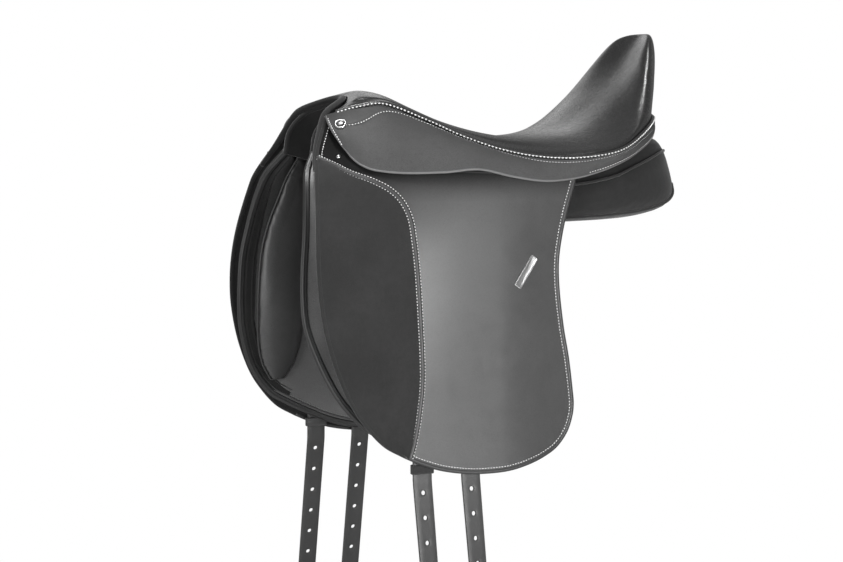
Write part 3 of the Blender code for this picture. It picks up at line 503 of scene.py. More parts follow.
def leather(name, base, rough, grain=900.0, grain_depth=0.00012, strength=0.35, coat=0.0, spec=0.5, mottle=0.18, sheen=0.0, worn=0.5, lift=None):
    m = Mat(name)
    big = m.noise(9.0, 3.0); mid = m.noise(70.0, 5.0, 0.65); fine = m.noise(grain * 1.6, 3.0, 0.7)
    pores = m.voronoi(grain); lines = m.noise(26.0, 6.0, 0.7, (1.0, 1.0, 3.5))
    tone = m.ramp(big, [(0.3, g3(base * (1 - mottle))), (0.7, g3(base * (1 + mottle)))])
    tone = m.mix(m.span(mid, 0.35, 0.75, 0.0, 0.35), tone, g3(base * 0.72))
    tone = m.mix(m.span(pores, 0.0, 0.22, 0.55, 0.0), tone, g3(base * 0.45))
    if lift:       # painted light and shade: the colour is multiplied by a ramp along one axis, lift[2] at lift[0] to lift[3] at lift[1]
        sx = m.node("ShaderNodeSeparateXYZ"); m.link(m.co, sx.inputs[0])
        tone = m.mix(1.0, tone, m.ramp(m.span(sx.outputs[lift[4] if len(lift) > 4 else "X"], lift[0], lift[1]), [(0.0, lift[2]), (1.0, lift[3])]), "MULTIPLY")
    tone = m.mix(m.math("MULTIPLY", m.wear(), worn), tone, g3(min(0.9, base * 2.2 + 0.02)))
    r = m.math("ADD", m.span(mid, 0.25, 0.8, rough - 0.06, rough + 0.07), m.span(fine, 0.3, 0.7, -0.05, 0.05))
    if lift and lift[2] > lift[3]:      # and where the ramp darkens (painted shade), rougher and less glossy too
        painted_shade_ramp = m.span(sx.outputs[lift[4]], lift[0], lift[1])
        r = m.math("ADD", r, m.math("MULTIPLY", painted_shade_ramp, 0.35)); spec = m.span(painted_shade_ramp, 0.0, 1.0, spec, 0.10); coat = m.span(painted_shade_ramp, 0.0, 1.0, coat, 0.0)
    m.put(Base_Color=tone, Roughness=r, Specular_IOR_Level=spec, Coat_Weight=coat, Coat_Roughness=0.30, Sheen_Weight=sheen, Sheen_Roughness=0.5)
    m.bump([(lines, strength * 0.35, 0.0005), (m.span(pores, 0.0, 0.30), strength, grain_depth), (fine, strength * 0.6, grain_depth * 0.6)])
    return m.m

def suede(name, base, mottle=0.25, sheen=0.35, nap=1500.0):
    m = Mat(name)
    big = m.noise(14.0, 4.0, 0.6); mid = m.noise(130.0, 5.0, 0.75); fine = m.noise(nap, 4.0, 0.8)
    brushed = m.noise(320.0, 4.0, 0.7, (1.0, 1.0, 0.25))
    tone = m.ramp(big, [(0.3, g3(base * (1 - mottle))), (0.72, g3(base * (1 + mottle)))])
    tone = m.mix(m.span(mid, 0.35, 0.7, 0.0, 0.5), tone, g3(base * 0.62))
    tone = m.mix(m.span(fine, 0.50, 0.80, 0.0, 0.7), tone, g3(base * 2.1))
    tone = m.mix(m.span(brushed, 0.5, 0.8, 0.0, 0.3), tone, g3(base * 1.5))
    tone = m.mix(m.math("MULTIPLY", m.wear(), 0.4), tone, g3(base * 2.2))
    m.put(Base_Color=tone, Roughness=m.span(fine, 0.3, 0.7, 0.88, 1.0), Specular_IOR_Level=0.18, Sheen_Weight=sheen, Sheen_Roughness=0.45)
    m.bump([(mid, 0.25, 0.0004), (fine, 0.55, 0.00022), (brushed, 0.2, 0.0002)])
    return m.m

def webbing(name, base, pitch=620.0):
    m = Mat(name)
    a = m.wave(pitch, "X"); b = m.wave(pitch * 0.8, "Z"); n = m.noise(900.0, 3.0)
    w = m.math("MULTIPLY", a, b)
    tone = m.ramp(w, [(0.0, g3(base * 0.4)), (0.8, g3(base * 1.5))])
    tone = m.mix(m.span(n, 0.4, 0.8, 0.0, 0.5), tone, g3(base * 2.0))
    m.put(Base_Color=tone, Roughness=m.span(n, 0.3, 0.7, 0.7, 0.9), Specular_IOR_Level=0.3, Sheen_Weight=0.2)
    m.bump([(w, 0.7, 0.0004), (n, 0.3, 0.0002)])
    return m.m

def thread(name, base):
    m = Mat(name)
    tw = m.noise(2600.0, 2.0); dirt = m.noise(60.0, 3.0)
    tone = m.ramp(dirt, [(0.3, g3(base * 0.72)), (0.65, g3(base))])
    tone = m.mix(m.span(tw, 0.35, 0.7, 0.0, 0.4), tone, g3(base * 0.55))
    m.put(Base_Color=tone, Roughness=m.span(tw, 0.3, 0.7, 0.55, 0.75), Specular_IOR_Level=0.4, Sheen_Weight=0.15)
    m.bump([(tw, 0.5, 0.0001)])
    return m.m

def metal(name, base, rough, brushed=(1.0, 1.0, 14.0)):
    m = Mat(name)
    sc = m.noise(420.0, 3.0, 0.7, brushed); spot = m.noise(55.0, 4.0)
    tone = m.ramp(spot, [(0.3, g3(base * 0.82)), (0.65, g3(base))])
    tone = m.mix(m.math("MULTIPLY", m.wear(), 0.5), tone, g3(min(0.95, base * 1.25)))
    r = m.math("ADD", m.span(sc, 0.3, 0.7, rough - 0.05, rough + 0.10), m.span(spot, 0.3, 0.7, -0.03, 0.05))
    m.put(Base_Color=tone, Metallic=1.0, Roughness=r)
    m.bump([(sc, 0.12, 0.0001)])
    return m.m

def moulded(name, base, rough):
    m = Mat(name)
    n = m.noise(700.0, 3.0, 0.7); b = m.noise(20.0, 3.0)
    tone = m.ramp(b, [(0.3, g3(base * 0.8)), (0.7, g3(base * 1.15))])
    tone = m.mix(m.math("MULTIPLY", m.wear(), 0.5), tone, g3(base * 2.5))
    m.put(Base_Color=tone, Roughness=m.span(n, 0.3, 0.7, rough - 0.08, rough + 0.08), Specular_IOR_Level=0.45)
    m.bump([(n, 0.35, 0.00012)])
    return m.m

# the flap's head is darkened upwards from z 0.014 to 0.046: painted shade under the skirt's edge, where it is also
# rougher and duller
FLAP_M = leather("flap_smooth_leather", 0.052, 0.36, grain=760.0, grain_depth=0.00006, strength=0.22, coat=0.10, lift=(0.014, 0.046, 1.0, 0.12, "Z"))
SKIRT_M = leather("skirt_smooth_leather", 0.064, 0.52, grain=800.0, grain_depth=0.00006, strength=0.22, coat=0.0, spec=0.14)
SEAT_M = leather("seat_grained_leather", 0.016, 0.27, grain=560.0, grain_depth=0.00016, strength=0.50, coat=0.35, mottle=0.12)
# the leaf is darkened to 0.30 behind x 0.118 and brightened up to 2.5 times towards x 0.182, its front edge: painted
# light on its front and painted shade where the near flap shadows it
LEAF_M = leather("leaf_soft_leather", 0.060, 0.44, grain=760.0, grain_depth=0.00008, strength=0.28, lift=(0.118, 0.182, 0.30, 2.5))
SWEAT_M = leather("sweat_flap_leather", 0.135, 0.48, grain=700.0, grain_depth=0.00008, strength=0.3)
BIND_M = leather("binding_leather", 0.022, 0.45, grain=900.0, grain_depth=0.00006, strength=0.25, worn=0.9)
EDGE_M = leather("cut_edge_leather", 0.055, 0.55, grain=1100.0, grain_depth=0.0001, strength=0.4, worn=0.8)
STRAP_M = leather("strap_leather", 0.034, 0.50, grain=850.0, grain_depth=0.00007, strength=0.28, coat=0.0, worn=0.8)
SUEDE_M = suede("knee_suede", 0.018)
LINING_M = suede("lining_suede", 0.018, sheen=0.25)
PANEL_M = suede("panel_suede", 0.016, sheen=0.2)
WEB_M = webbing("keeper_webbing", 0.02)
THREAD_M = thread("pale_thread", 0.80)
THREAD_D = thread("grey_thread", 0.22)
STEEL_M = metal("satin_steel", 0.24, 0.44)
SILVER_M = metal("satin_silver", 0.46, 0.30)
PLASTIC_M = moulded("tree_plastic", 0.03, 0.5)
FOAM_M = moulded("cell_foam", 0.25, 0.9)

# ---------------------------------------------------------------- camera, floor, light
AZ, EL, DIST = math.radians(65.0), math.radians(5.5), 2.42
AIM = Vector((0.0, 0.0, -0.085))
cam = bpy.data.objects.new("camera", bpy.data.cameras.new("camera"))
bpy.context.scene.collection.objects.link(cam)
cam.location = AIM + DIST * Vector((math.cos(AZ) * math.cos(EL), math.sin(AZ) * math.cos(EL), math.sin(EL)))
cam.rotation_euler = (AIM - cam.location).to_track_quat("-Z", "Y").to_euler()
cam.data.sensor_width = 36.0
cam.data.lens = 36.0 * 2105.0 / 843.0
bpy.context.scene.camera = cam
bpy.context.scene.view_settings.view_transform = "Standard"

fm = Mat("pale_floor")
fn = fm.noise(3.0, 3.0)
fm.put(Base_Color=fm.ramp(fn, [(0.3, 0.55), (0.7, 0.58)]), Roughness=0.9)
fe = fm.node("ShaderNodeEmission", Strength=1.0)
fx = fm.node("ShaderNodeMixShader")
fm.link(fm.node("ShaderNodeLightPath").outputs["Is Camera Ray"], fx.inputs[0])
fm.link(fm.b.outputs[0], fx.inputs[1]); fm.link(fe.outputs[0], fx.inputs[2])
fm.link(fx.outputs[0], fm.t.nodes["Material Output"].inputs["Surface"])
floor = add_object("floor", [(-9, -9, -0.60), (9, -9, -0.60), (9, 9, -0.60), (-9, 9, -0.60)], [[0, 1, 2, 3]], fm.m, False)

def area(name, loc, aim, size, power, size_y=None):
    li = bpy.data.lights.new(name, "AREA")
    li.energy = power; li.size = size
    if size_y: li.shape = "RECTANGLE"; li.size_y = size_y
    ob = bpy.data.objects.new(name, li)
    bpy.context.scene.collection.objects.link(ob)
    ob.location = loc
    ob.rotation_euler = (Vector(aim) - Vector(loc)).to_track_quat("-Z", "Y").to_euler()
    return ob

area("key", (-0.15, 2.1, -0.22), (0.03, 0.15, -0.14), 0.40, 50.0, 1.0)
area("top", (0.32, 0.22, 1.95), (-0.22, 0.08, 0.10), 0.26, 34.0, 0.26)
area("front", (2.2, 0.45, 0.35), (0.12, -0.08, -0.08), 0.8, 12.0, 1.2)
area("side", (1.75, 1.55, 0.10), (0.12, -0.08, -0.12), 0.9, 20.0, 1.2)
area("backdrop", (-0.3, -2.4, 1.0), (-0.15, 0.0, 0.08), 2.0, 4.2, 0.7)
area("rear", (-2.2, 0.9, 0.5), (-0.2, 0.05, 0.05), 2.0, 2.5, 2.0)
world = bpy.data.worlds.new("studio")
bpy.context.scene.world = world
world.use_nodes = True
wt = world.node_tree
bg = wt.nodes["Background"]
bg.inputs["Color"].default_value = (1, 1, 1, 1); bg.inputs["Strength"].default_value = 0.20
bw = wt.nodes.new("ShaderNodeBackground")
bw.inputs["Color"].default_value = (1, 1, 1, 1); bw.inputs["Strength"].default_value = 1.0
wx = wt.nodes.new("ShaderNodeMixShader")
wt.links.new(wt.nodes.new("ShaderNodeLightPath").outputs["Is Camera Ray"], wx.inputs[0])
wt.links.new(bg.outputs[0], wx.inputs[1]); wt.links.new(bw.outputs[0], wx.inputs[2])
wt.links.new(wx.outputs[0], wt.nodes["World Output"].inputs["Surface"])

# ---------------------------------------------------------------- seat
def sway(p, amp=0.0005, scale=9.0):
    return amp * noise.noise(Vector((p[0] * scale, p[1] * scale * 0.6 + 3.1, p[2] * scale)))

GN, GM = 170, 96
def seat_full(u, v):
    """Stuffed shape: the crest sits further in and the flank swells outside it."""
    c = cr(SEAT_C, u); r = cr(SEAT_R, u); w = cr(SEAT_W, u)
    k = sstep(0.28, 0.55, u); a = abs(v)
    cc = (c[0], 0.0, c[1])
    g = sstep(0.72, 0.82, u); i = (0.44 - 0.12 * sstep(0.60, 0.80, u)) * k
    cc = (c[0] + 0.003 * g, 0.0, c[1] - 0.0025 * g)
    r2 = (r[0] + (c[0] - r[0]) * i, r[1] * (1 - i), r[2] + (c[1] - r[2]) * 0.58 * k + 0.0006 * k)
    h = 0.42
    mid = (r[0] * (1 - h) + w[0] * h, r[1] * (1 - h) + w[1] * h, r[2] * (1 - h) + w[2] * h)
    hi = 0.48 - 0.24 * g
    f = (r[0] * (1 - hi) + w[0] * hi + 0.0010 * k, r[1] * (1 - hi) + w[1] * hi + 0.0005 * k, r[2] * (1 - hi) + w[2] * hi - 0.001 * k)
    f = tuple(mid[n] * (1 - k) + f[n] * k for n in range(3))
    p = [(r2[0], -r2[1], r2[2]), cc, r2, f, w, (w[0] - 0.15 * (f[0] - w[0]), w[1] + 0.15 * (w[1] - f[1]) - 0.012, w[2] - 0.9 * (f[2] - w[2]) - 0.012)]
    b0 = 0.62 - 0.14 * k; b1 = 0.80 - 0.06 * k
    s = a / b0 if a < b0 else 1 + (a - b0) / (b1 - b0) if a < b1 else 2 + (a - b1) / (1 - b1)
    n = int(min(s, 2.999999)); t = s - n
    q = p[n:n + 4]
    P = [0.5 * ((2 * q[1][m]) + (q[2][m] - q[0][m]) * t + (2 * q[0][m] - 5 * q[1][m] + 4 * q[2][m] - q[3][m]) * t * t
                + (3 * q[1][m] - q[0][m] - 3 * q[2][m] + q[3][m]) * t ** 3) for m in range(3)]
    if v < 0: P[1] = -P[1]
    return Vector(P)
grid = np.array([[list(seat_full(i / GN, 2 * j / GM - 1)) for i in range(GN + 1)] for j in range(GM + 1)])
def grid_normals(g):
    du = np.gradient(g, axis=1); dv = np.gradient(g, axis=0)
    n = np.cross(du, dv)
    n /= np.maximum(1e-12, np.linalg.norm(n, axis=2, keepdims=True))
    return n if n[GM // 2, GN // 3, 2] > 0 else -n
for k in range(110):       # stuffing rounds the crest off; every second pass swells it back
    inner = (grid[1:-1, :-2] + grid[1:-1, 2:] + grid[:-2, 1:-1] + grid[2:, 1:-1]) / 4
    grid[1:-1, 1:-1] += (0.62 if k % 2 == 0 else -0.60) * (inner - grid[1:-1, 1:-1])
gn = grid_normals(grid)
for j in range(GM + 1):
    for i in range(GN + 1):
        v = j / GM; u = i / GN
        full = sstep(0.0, 0.10, v) * sstep(0.0, 0.10, 1 - v) * sstep(0.0, 0.06, u) * sstep(0.0, 0.06, 1 - u)
        grid[j, i] += gn[j, i] * (0.0012 + sway(grid[j, i], 0.0006, 11.0)) * full
gn = grid_normals(grid)
seat_ob = sheet_between("seat_skin", GN, GM, lambda u, v: grid[int(round(v * GM)), int(round(u * GN))],
                        lambda u, v: grid[int(round(v * GM)), int(round(u * GN))] - gn[int(round(v * GM)), int(round(u * GN))] * COVER_T, SEAT_M, 0.0006, 2)
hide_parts("seat_cover"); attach(seat_ob, "base")

FU0, FU1, FV = 2 / 24, 16 / 24, 0.8
def foam_at(d):
    return lambda a, b: seat_in(FU0 + (FU1 - FU0) * a, FV * (2 * b - 1), COVER_T + 0.0022 + (foam_depth(FU0 + (FU1 - FU0) * a, FV * (2 * b - 1)) - 0.0004) * d)
foam = sheet_between("seat_foam_pad", 56, 32, foam_at(0.0), foam_at(1.0), FOAM_M, 0.0015, 2)
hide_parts("seat_foam"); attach(foam, "base")

# arch lining
LINE_F = [(.152, .0410, .062), (.147, .0400, .088), (.130, .0370, .108), (.110, .022, .1180), (.099, .0, .1205)]
lin = sheet_between("arch_lining", 26, 96, lambda a, b: lining(a, b, -0.0002 + 0.0012 * math.sin(math.pi * a) ** 2 * abs(math.sin(b * math.pi * 7)) * 0.5),
                    lambda a, b: lining(a, b, 0.0035), LINING_M, 0.0012, 3)
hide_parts("gullet_lining"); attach(lin, "base")
rimp = [lining(0.02, b / 90, 0.0012) for b in range(91)]
rimu = [(lining(0.0, b / 90, -0.002) - lining(0.5, b / 90, 0.0015)).normalized() for b in range(91)]
rim = sweep("arch_lining_piping", rimp, rimu, ring(0.0028, 12), LINING_M)
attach(rim, "base")

half = [(.1640, .0480), (.1590, .0610), (.1535, .0730), (.1458, .0890), (.1385, .1040)]
half = [(x, barrel(x, z) - 0.0040, z) for x, z in half] + [(.1310, .0385, .1115), (.1165, .0275, .1182), (.1040, .0140, .1232), (.0990, .0, .1245)]
full = half + [(x, -y, z) for x, y, z in reversed(half[:-1])]
P = [Vector(cr(full, i / 150)) for i in range(151)]
U = [Vector((0.75, (p.y / 0.1) * 0.9, 0.35 + 0.5 * sstep(0.05, 0.12, p.z))).normalized() for p in P]
def roll_section(t):
    r = 0.0026 + 0.0014 * sstep(0.0, 0.22, min(t, 1 - t))
    return [((r + 0.00012 * math.cos(5 * a)) * math.cos(a), (r + 0.00012 * math.cos(5 * a)) * math.sin(a)) for a in [2 * math.pi * j / 20 for j in range(20)]]
ob = sweep("pommel_rim_roll", P, U, roll_section, LINING_M)
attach(ob, "base")

PADS = []
def stuffed(ob, cap):
    """Queue a pad for the pressure simulation; no point may move further than cap."""
    PADS.append((ob, cap))

def swell_pads(voxel=0.0045, pressure=4.0):
    """Remesh every queued pad, blow it up with cloth pressure for 20 frames, cap the movement and apply it."""
    scene = bpy.context.scene
    work = []
    for ob, cap in PADS:
        mats = [m for m in ob.data.materials]
        md = ob.modifiers.new("even", "REMESH"); md.mode = "VOXEL"; md.voxel_size = voxel
        bake(ob)
        if not ob.data.materials:
            for m in mats: ob.data.materials.append(m)
        start = np.array([list(v.co) for v in ob.data.vertices])
        cl = ob.modifiers.new("stuffing", "CLOTH"); st = cl.settings
        st.quality = 5; st.mass = 0.25; st.tension_stiffness = 22; st.compression_stiffness = 22; st.shear_stiffness = 8; st.bending_stiffness = 0.6
        st.use_pressure = True; st.uniform_pressure_force = pressure; st.effector_weights.gravity = 0.0
        cl.collision_settings.use_collision = False; cl.collision_settings.use_self_collision = False
        cl.point_cache.frame_start = 1; cl.point_cache.frame_end = 20
        work.append((ob, cap, start))
    for f in range(1, 21): scene.frame_set(f)
    dg = bpy.context.evaluated_depsgraph_get()
    moved = []
    for ob, cap, start in work:
        ev = ob.evaluated_get(dg).to_mesh()
        co = np.array([list(v.co) for v in ev.vertices]); ob.evaluated_get(dg).to_mesh_clear()
        d = co - start; n = np.linalg.norm(d, axis=1, keepdims=True)
        moved.append(start + d * np.minimum(1.0, cap / np.maximum(n, 1e-9)))
    for (ob, cap, start), co in zip(work, moved):
        ob.modifiers.clear()
        ob.data.vertices.foreach_set("co", co.ravel()); ob.data.update()
        md = ob.modifiers.new("fine", "SUBSURF"); md.levels = 1; md.render_levels = 1
        bake(ob)
        for p in ob.data.polygons: p.use_smooth = True
    scene.frame_set(1)

# ---------------------------------------------------------------- hardware kept from the CAD
def finish_node(name, mat):
    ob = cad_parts[name]
    for i in range(len(ob.material_slots)): ob.material_slots[i].material = mat
    if not ob.material_slots: ob.data.materials.append(mat)
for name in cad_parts:
    if name.startswith(("gullet_plate", "stirrup_bar", "bar_catch", "catch_pin", "bar_rivet")):
        finish_node(name, STEEL_M)
finish_node("saddle_tree", PLASTIC_M)

def lathe(name, profile, k, at, axis, mat):
    """Turned piece: profile is (radius, height) pairs along axis."""
    q = Vector(axis).to_track_quat("Z", "Y")
    rings = [[Vector(at) + q @ Vector((r * math.cos(2 * math.pi * j / k), r * math.sin(2 * math.pi * j / k), h)) for j in range(k)] for r, h in profile]
    return lofted(name, rings, mat)

def skirtv(s, t):
    """The skirt with its front corner rounded off and its front edge bowed forward; its tail runs on to the centre."""
    tm = 1 - 0.24 * (1 - min(1.0, s / 0.080)) ** 2
    w = max(0.0, s - 0.955) / 0.045
    p = skirt(s if s < 0.90 else 0.90 + (min(s, 0.955) - 0.90) / 0.55, t * tm)
    return Vector((p.x + 0.0032 * math.sin(math.pi * min(1, max(0, t)) ** 0.9) * (1 - sstep(0.0, 0.11, s)) - 0.0016 * (1 - (1 - w) ** 2), p.y * (1 - 0.97 * w), p.z))

SECOND = [(0.0, .33), (.070, .33), (.100, .30), (.130, .24), (.165, .13), (.200, .065), (.240, .05), (.320, .05), (.370, .13), (.420, .23), (.55, .27), (.75, .34), (1.0, .34)]
def second(u):
    """Where the skirt's second stitch line runs, as t."""
    return table(SECOND, u)

def skirt_n(q, t, s=1):
    e = 0.006
    a = skirtv(min(1, q + e), t) - skirtv(max(0, q - e), t)
    b = skirtv(q, min(1, t + 0.03)) - skirtv(q, max(0, t - 0.03))
    n = a.cross(b).normalized()
    c = Vector((-0.10, 0.02, 0.02))
    if n.dot(skirtv(q, t) - c) < 0: n = -n
    return side(n, s)

BUTTON_S, BUTTON_T = 0.050, 0.33
def skirt_p(q, t, s=1, h=0.0):
    return side(skirtv(q, t), s) + skirt_n(q, t, s) * h

# Fold line of the skirt: the direction from the joint's axis towards the lower edge.
AX = Vector((0.9626, -0.2320, 0.1402)).normalized()
DOWN = Vector((0, 0.020, -0.028)); DOWN = (DOWN - AX * DOWN.dot(AX)).normalized()

FRONT_ALL = [(.1380, .1050), (.1460, .0890), (.1540, .0730), (.1595, .0610), (.1645, .0480)] + FLAP_FRONT
REAR_ALL = [(-.1185, .0400)] + FLAP_REAR

for word, s in SIDES:
    fl, sk = "flap_" + word, "skirt_" + word

    def fold(ob):
        """Bakes the flap piece's transform into its mesh."""
        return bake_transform(ob)

    def skirt_fold(ob):
        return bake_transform(ob)

    # ---- flap
    N, M = 104, 150
    rows = coons(FRONT_ALL, FLAP_BOT, REAR_ALL, list(reversed(HEAD_TOP)), N, M)
    def at(u, v, d, rows=rows, s=s):
        x, z = rows[int(round(v * M))][int(round(u * N))]
        return side((x, barrel(x, z) - d + sway((x, 0.0, z), 0.0006, 8.0), z), s)
    flap = sheet_between("flap_leather_" + word, N, M, lambda u, v: at(u, v, 0.0), lambda u, v: at(u, v, FLAP_T), FLAP_M, back=LINING_M)
    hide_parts("flap_head_" + word, "flap_" + word); fold(flap)

    def face(x, z, h=0.0, s=s):
        return bpt(x, z, s, h + sway((x, 0.0, z), 0.0006, 8.0))
    def run(pts, n, h=0.0, s=s):
        q = resample(pts, n)
        return [face(x, z, h) for x, z in q], [bn(x, z, s) for x, z in q]

    # bound edge: leather round the rear and bottom, suede round the front
    outline_rear = list(reversed(FLAP_BOT)) ; outline_rear = list(FLAP_BOT) + list(reversed(REAR_ALL))[1:]
    pts = inset(resample(outline_rear, 150), 0.0010)
    P = [side((x, barrel(x, z) + sway((x, 0, z), 0.0006, 8.0) - FLAP_T / 2, z), s) for x, z in pts]; U = [bn(x, z, s) for x, z in pts]
    sec = [(0.0024 * math.cos(a) , 0.00255 * math.copysign(abs(math.sin(a)) ** 0.7, math.sin(a))) for a in [2 * math.pi * j / 14 for j in range(14)]]
    ob = sweep("flap_binding_" + word, P, U, sec, BIND_M); fold(ob)
    pts = inset(resample(FRONT_ALL, 150), 0.0010)
    P = [side((x, barrel(x, z) + sway((x, 0, z), 0.0006, 8.0) - FLAP_T / 2, z), s) for x, z in pts]; U = [bn(x, z, s) for x, z in pts]
    ob = sweep("flap_front_binding_" + word, P, U, sec, LINING_M); fold(ob)
    line = inset(resample(outline_rear, 220), 0.0050)
    P, U = [face(x, z, 0.00005) for x, z in line], [bn(x, z, s) for x, z in line]
    ob = stitches("flap_edge_stitches_" + word, P, U, 0.0034, THREAD_M, length=0.55, r=0.00042, seed=3); fold(ob)
    line = inset(resample(FRONT_ALL[:6], 60), 0.0048)
    ob = stitches("flap_front_stitches_" + word, [face(x, z, 0.00005) for x, z in line], [bn(x, z, s) for x, z in line], 0.0034, THREAD_M, length=0.58, r=0.00046, seed=4); fold(ob)
    line = inset(resample(outline_rear, 160), 0.0036)
    ob = sweep("flap_edge_crease_" + word, [face(x, z, -0.0002) for x, z in line], [bn(x, z, s) for x, z in line],
               [(-0.0009, 0), (-0.0005, 0.0004), (0.0005, 0.0004), (0.0009, 0), (0, -0.0006)], BIND_M); fold(ob)

    # ---- suede knee patch
    seam_all = [(.1585, .0615), (.1450, .0535), (.1330, .0455), (.1130, .0370), (.0970, .0275), (.0860, .0150)] + SEAM[4:]
    PN, PM = 44, 130
    fr = inset(resample(FRONT_ALL[3:], 60), 0.0010)
    prow = coons(fr, [fr[-1], ((fr[-1][0] + .0890) / 2, -.2588), (.0890, -.2590)], seam_all, [fr[0], seam_all[0]], PN, PM)
    def pk(u, v, d, prow=prow, s=s):
        x, z = prow[int(round(v * PM))][int(round(u * PN))]
        puff = 0.0016 * (math.sin(math.pi * min(1, max(0, u))) ** (0.9 if u < 0.5 else 0.35)) + 0.0004 * min(1, u * 8)
        return face(x, z, puff if d == 0 else -0.0005)
    patch = sheet_between("knee_suede_" + word, PN, PM, lambda u, v: pk(u, v, 0), lambda u, v: pk(u, v, 1), SUEDE_M)
    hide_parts("knee_patch_" + word); fold(patch)
    P, U = run(seam_all, 190, 0.0002)
    band = [(-0.0034, -0.0006), (-0.0034, 0.0004), (-0.0022, 0.0008), (-0.0012, 0.0019), (0.0, 0.0026), (0.0012, 0.0019), (0.0022, 0.0008), (0.0034, 0.0004), (0.0034, -0.0006)]
    ob = sweep("knee_seam_piping_" + word, P, U, band, BIND_M); fold(ob)
    for k, off, th, sd in (("a", 0.0028, THREAD_M, 5), ("b", -0.0028, THREAD_M, 6)):
        q = []
        for i, (p, u) in enumerate(zip(P, U)):
            t = (P[min(len(P) - 1, i + 1)] - P[max(0, i - 1)]).normalized()
            q.append(p + t.cross(u).normalized() * off + u * 0.0006)
        ob = stitches("knee_seam_stitches_" + k + "_" + word, q, U, 0.0034, th, length=0.56, r=0.00046, seed=sd); fold(ob)

    # ---- skirt
    SN_, SM_ = 190, 72
    def sp(u, v, d, s=s):
        t = 0.02 + 0.98 * v
        h = sway(skirtv(u, t), 0.0004, 10.0)
        if d == 0.0 and u > 0.05:
            t2 = second(u); k = sstep(0.05, 0.10, u) * (0.35 + 0.65 * sstep(0.06, 0.16, t2)); roll = sstep(0.30, 0.55, u)
            h += k * (-0.0009 * math.exp(-((t - t2) / 0.020) ** 2) + 0.0007 * roll * math.sin(math.pi * min(1, max(0, t / t2))) ** 0.8
                      + 0.0006 * roll * math.sin(math.pi * min(1, max(0, (t - t2) / (0.94 - t2)))) ** 0.8
                      - 0.0006 * sstep(0.48, 0.55, u) * math.exp(-((t - 0.90) / 0.020) ** 2))
        return side(skirtv(u, t), s) - skirt_n(u, t, s) * (d - h)
    skirt_ob = sheet_between("skirt_leather_" + word, SN_, SM_, lambda u, v: sp(u, v, 0.0), lambda u, v: sp(u, v, SKIRT_T * (0.55 + 0.45 * sstep(0.05, 0.3, v))), SKIRT_M, 0.0007, 2, back=LINING_M)
    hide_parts("skirt_head_" + word, "skirt_" + word); skirt_fold(skirt_ob)
    # cut edge, paler than the face
    e = [(0.003, 0.06 + 0.94 * i / 30) for i in range(30)] + [(0.003 + 0.997 * i / 220, 0.997) for i in range(221)]
    P = [side(skirtv(a, b), s) - skirt_n(a, b, s) * (SKIRT_T * 0.5) for a, b in e]
    U = [skirt_n(a, b, s) for a, b in e]
    ob = sweep("skirt_cut_edge_" + word, P, U, [(-0.0008, 0.0002), (0.0009, 0.0002), (0.0013, 0.0009), (0.0009, 0.0017), (-0.0007, 0.0020), (-0.0013, 0.0010)], EDGE_M)
    skirt_fold(ob)
    e = [(0.0090 + 0.004 * (i / 24) ** 2, 0.16 + 0.77 * i / 24) for i in range(25)]
    ob = stitches("skirt_front_stitches_" + word, [skirt_p(a, b, s, 0.0001) for a, b in e], [skirt_n(a, b, s) for a, b in e], 0.0034, THREAD_M, r=0.00046, length=0.58, seed=8); skirt_fold(ob)
    e = [(0.50 + 0.50 * i / 130, 0.90) for i in range(131)]
    ob = stitches("skirt_tail_stitches_" + word, [skirt_p(a, b, s, -0.0004) for a, b in e], [skirt_n(a, b, s) for a, b in e], 0.0034, THREAD_M, r=0.00046, length=0.58, seed=9); skirt_fold(ob)
    # second line of stitching, from the button back along the welt
    e = [(BUTTON_S + 0.013 + (0.987 - BUTTON_S) * i / 230, second(BUTTON_S + 0.013 + (0.987 - BUTTON_S) * i / 230)) for i in range(231)]
    P, U = [skirt_p(a, b, s, -0.0009 * sstep(0.05, 0.1, a) + 0.0001) for a, b in e], [skirt_n(a, b, s) for a, b in e]
    ob = stitches("skirt_second_stitches_" + word, P, U, 0.0034, THREAD_M, r=0.00046, length=0.58, seed=10); skirt_fold(ob)

    # ---- welt between seat and skirt
    wp = resample(SEAT_W, 150)
    P, U = [], []
    for i, p in enumerate(wp):
        back = sstep(120, 150, i)
        q = Vector((p[0] - 0.0030 * back, p[1] + 0.0026 * (1 - back), p[2] + 0.0006))
        P.append(side(q, s)); U.append(side(Vector((0.15 - 0.9 * back, 0.75 * (1 - back) + 0.2, 0.75)).normalized(), s))
    ob = sweep("seat_welt_cord_" + word, P, U, ring(0.0022, 12), SEAT_M)
    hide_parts("seat_welt_" + word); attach(ob, "base")
    Q = []
    for i, (p, u) in enumerate(zip(P, U)):
        t = (P[min(len(P) - 1, i + 1)] - P[max(0, i - 1)]).normalized()
        o = t.cross(u).normalized()
        if o.dot(side(Vector((0, 1, -0.6)), s)) < 0: o = -o
        Q.append(p + (o * 0.8 + u * 0.6).normalized() * 0.0021)
    V = [(q - p).normalized() for p, q in zip(P, Q)]
    ob = stitches("seat_welt_stitches_" + word, Q, V, 0.0042, THREAD_M, length=0.52, r=0.00075, rise=0.0003, seed=12)
    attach(ob, "base")

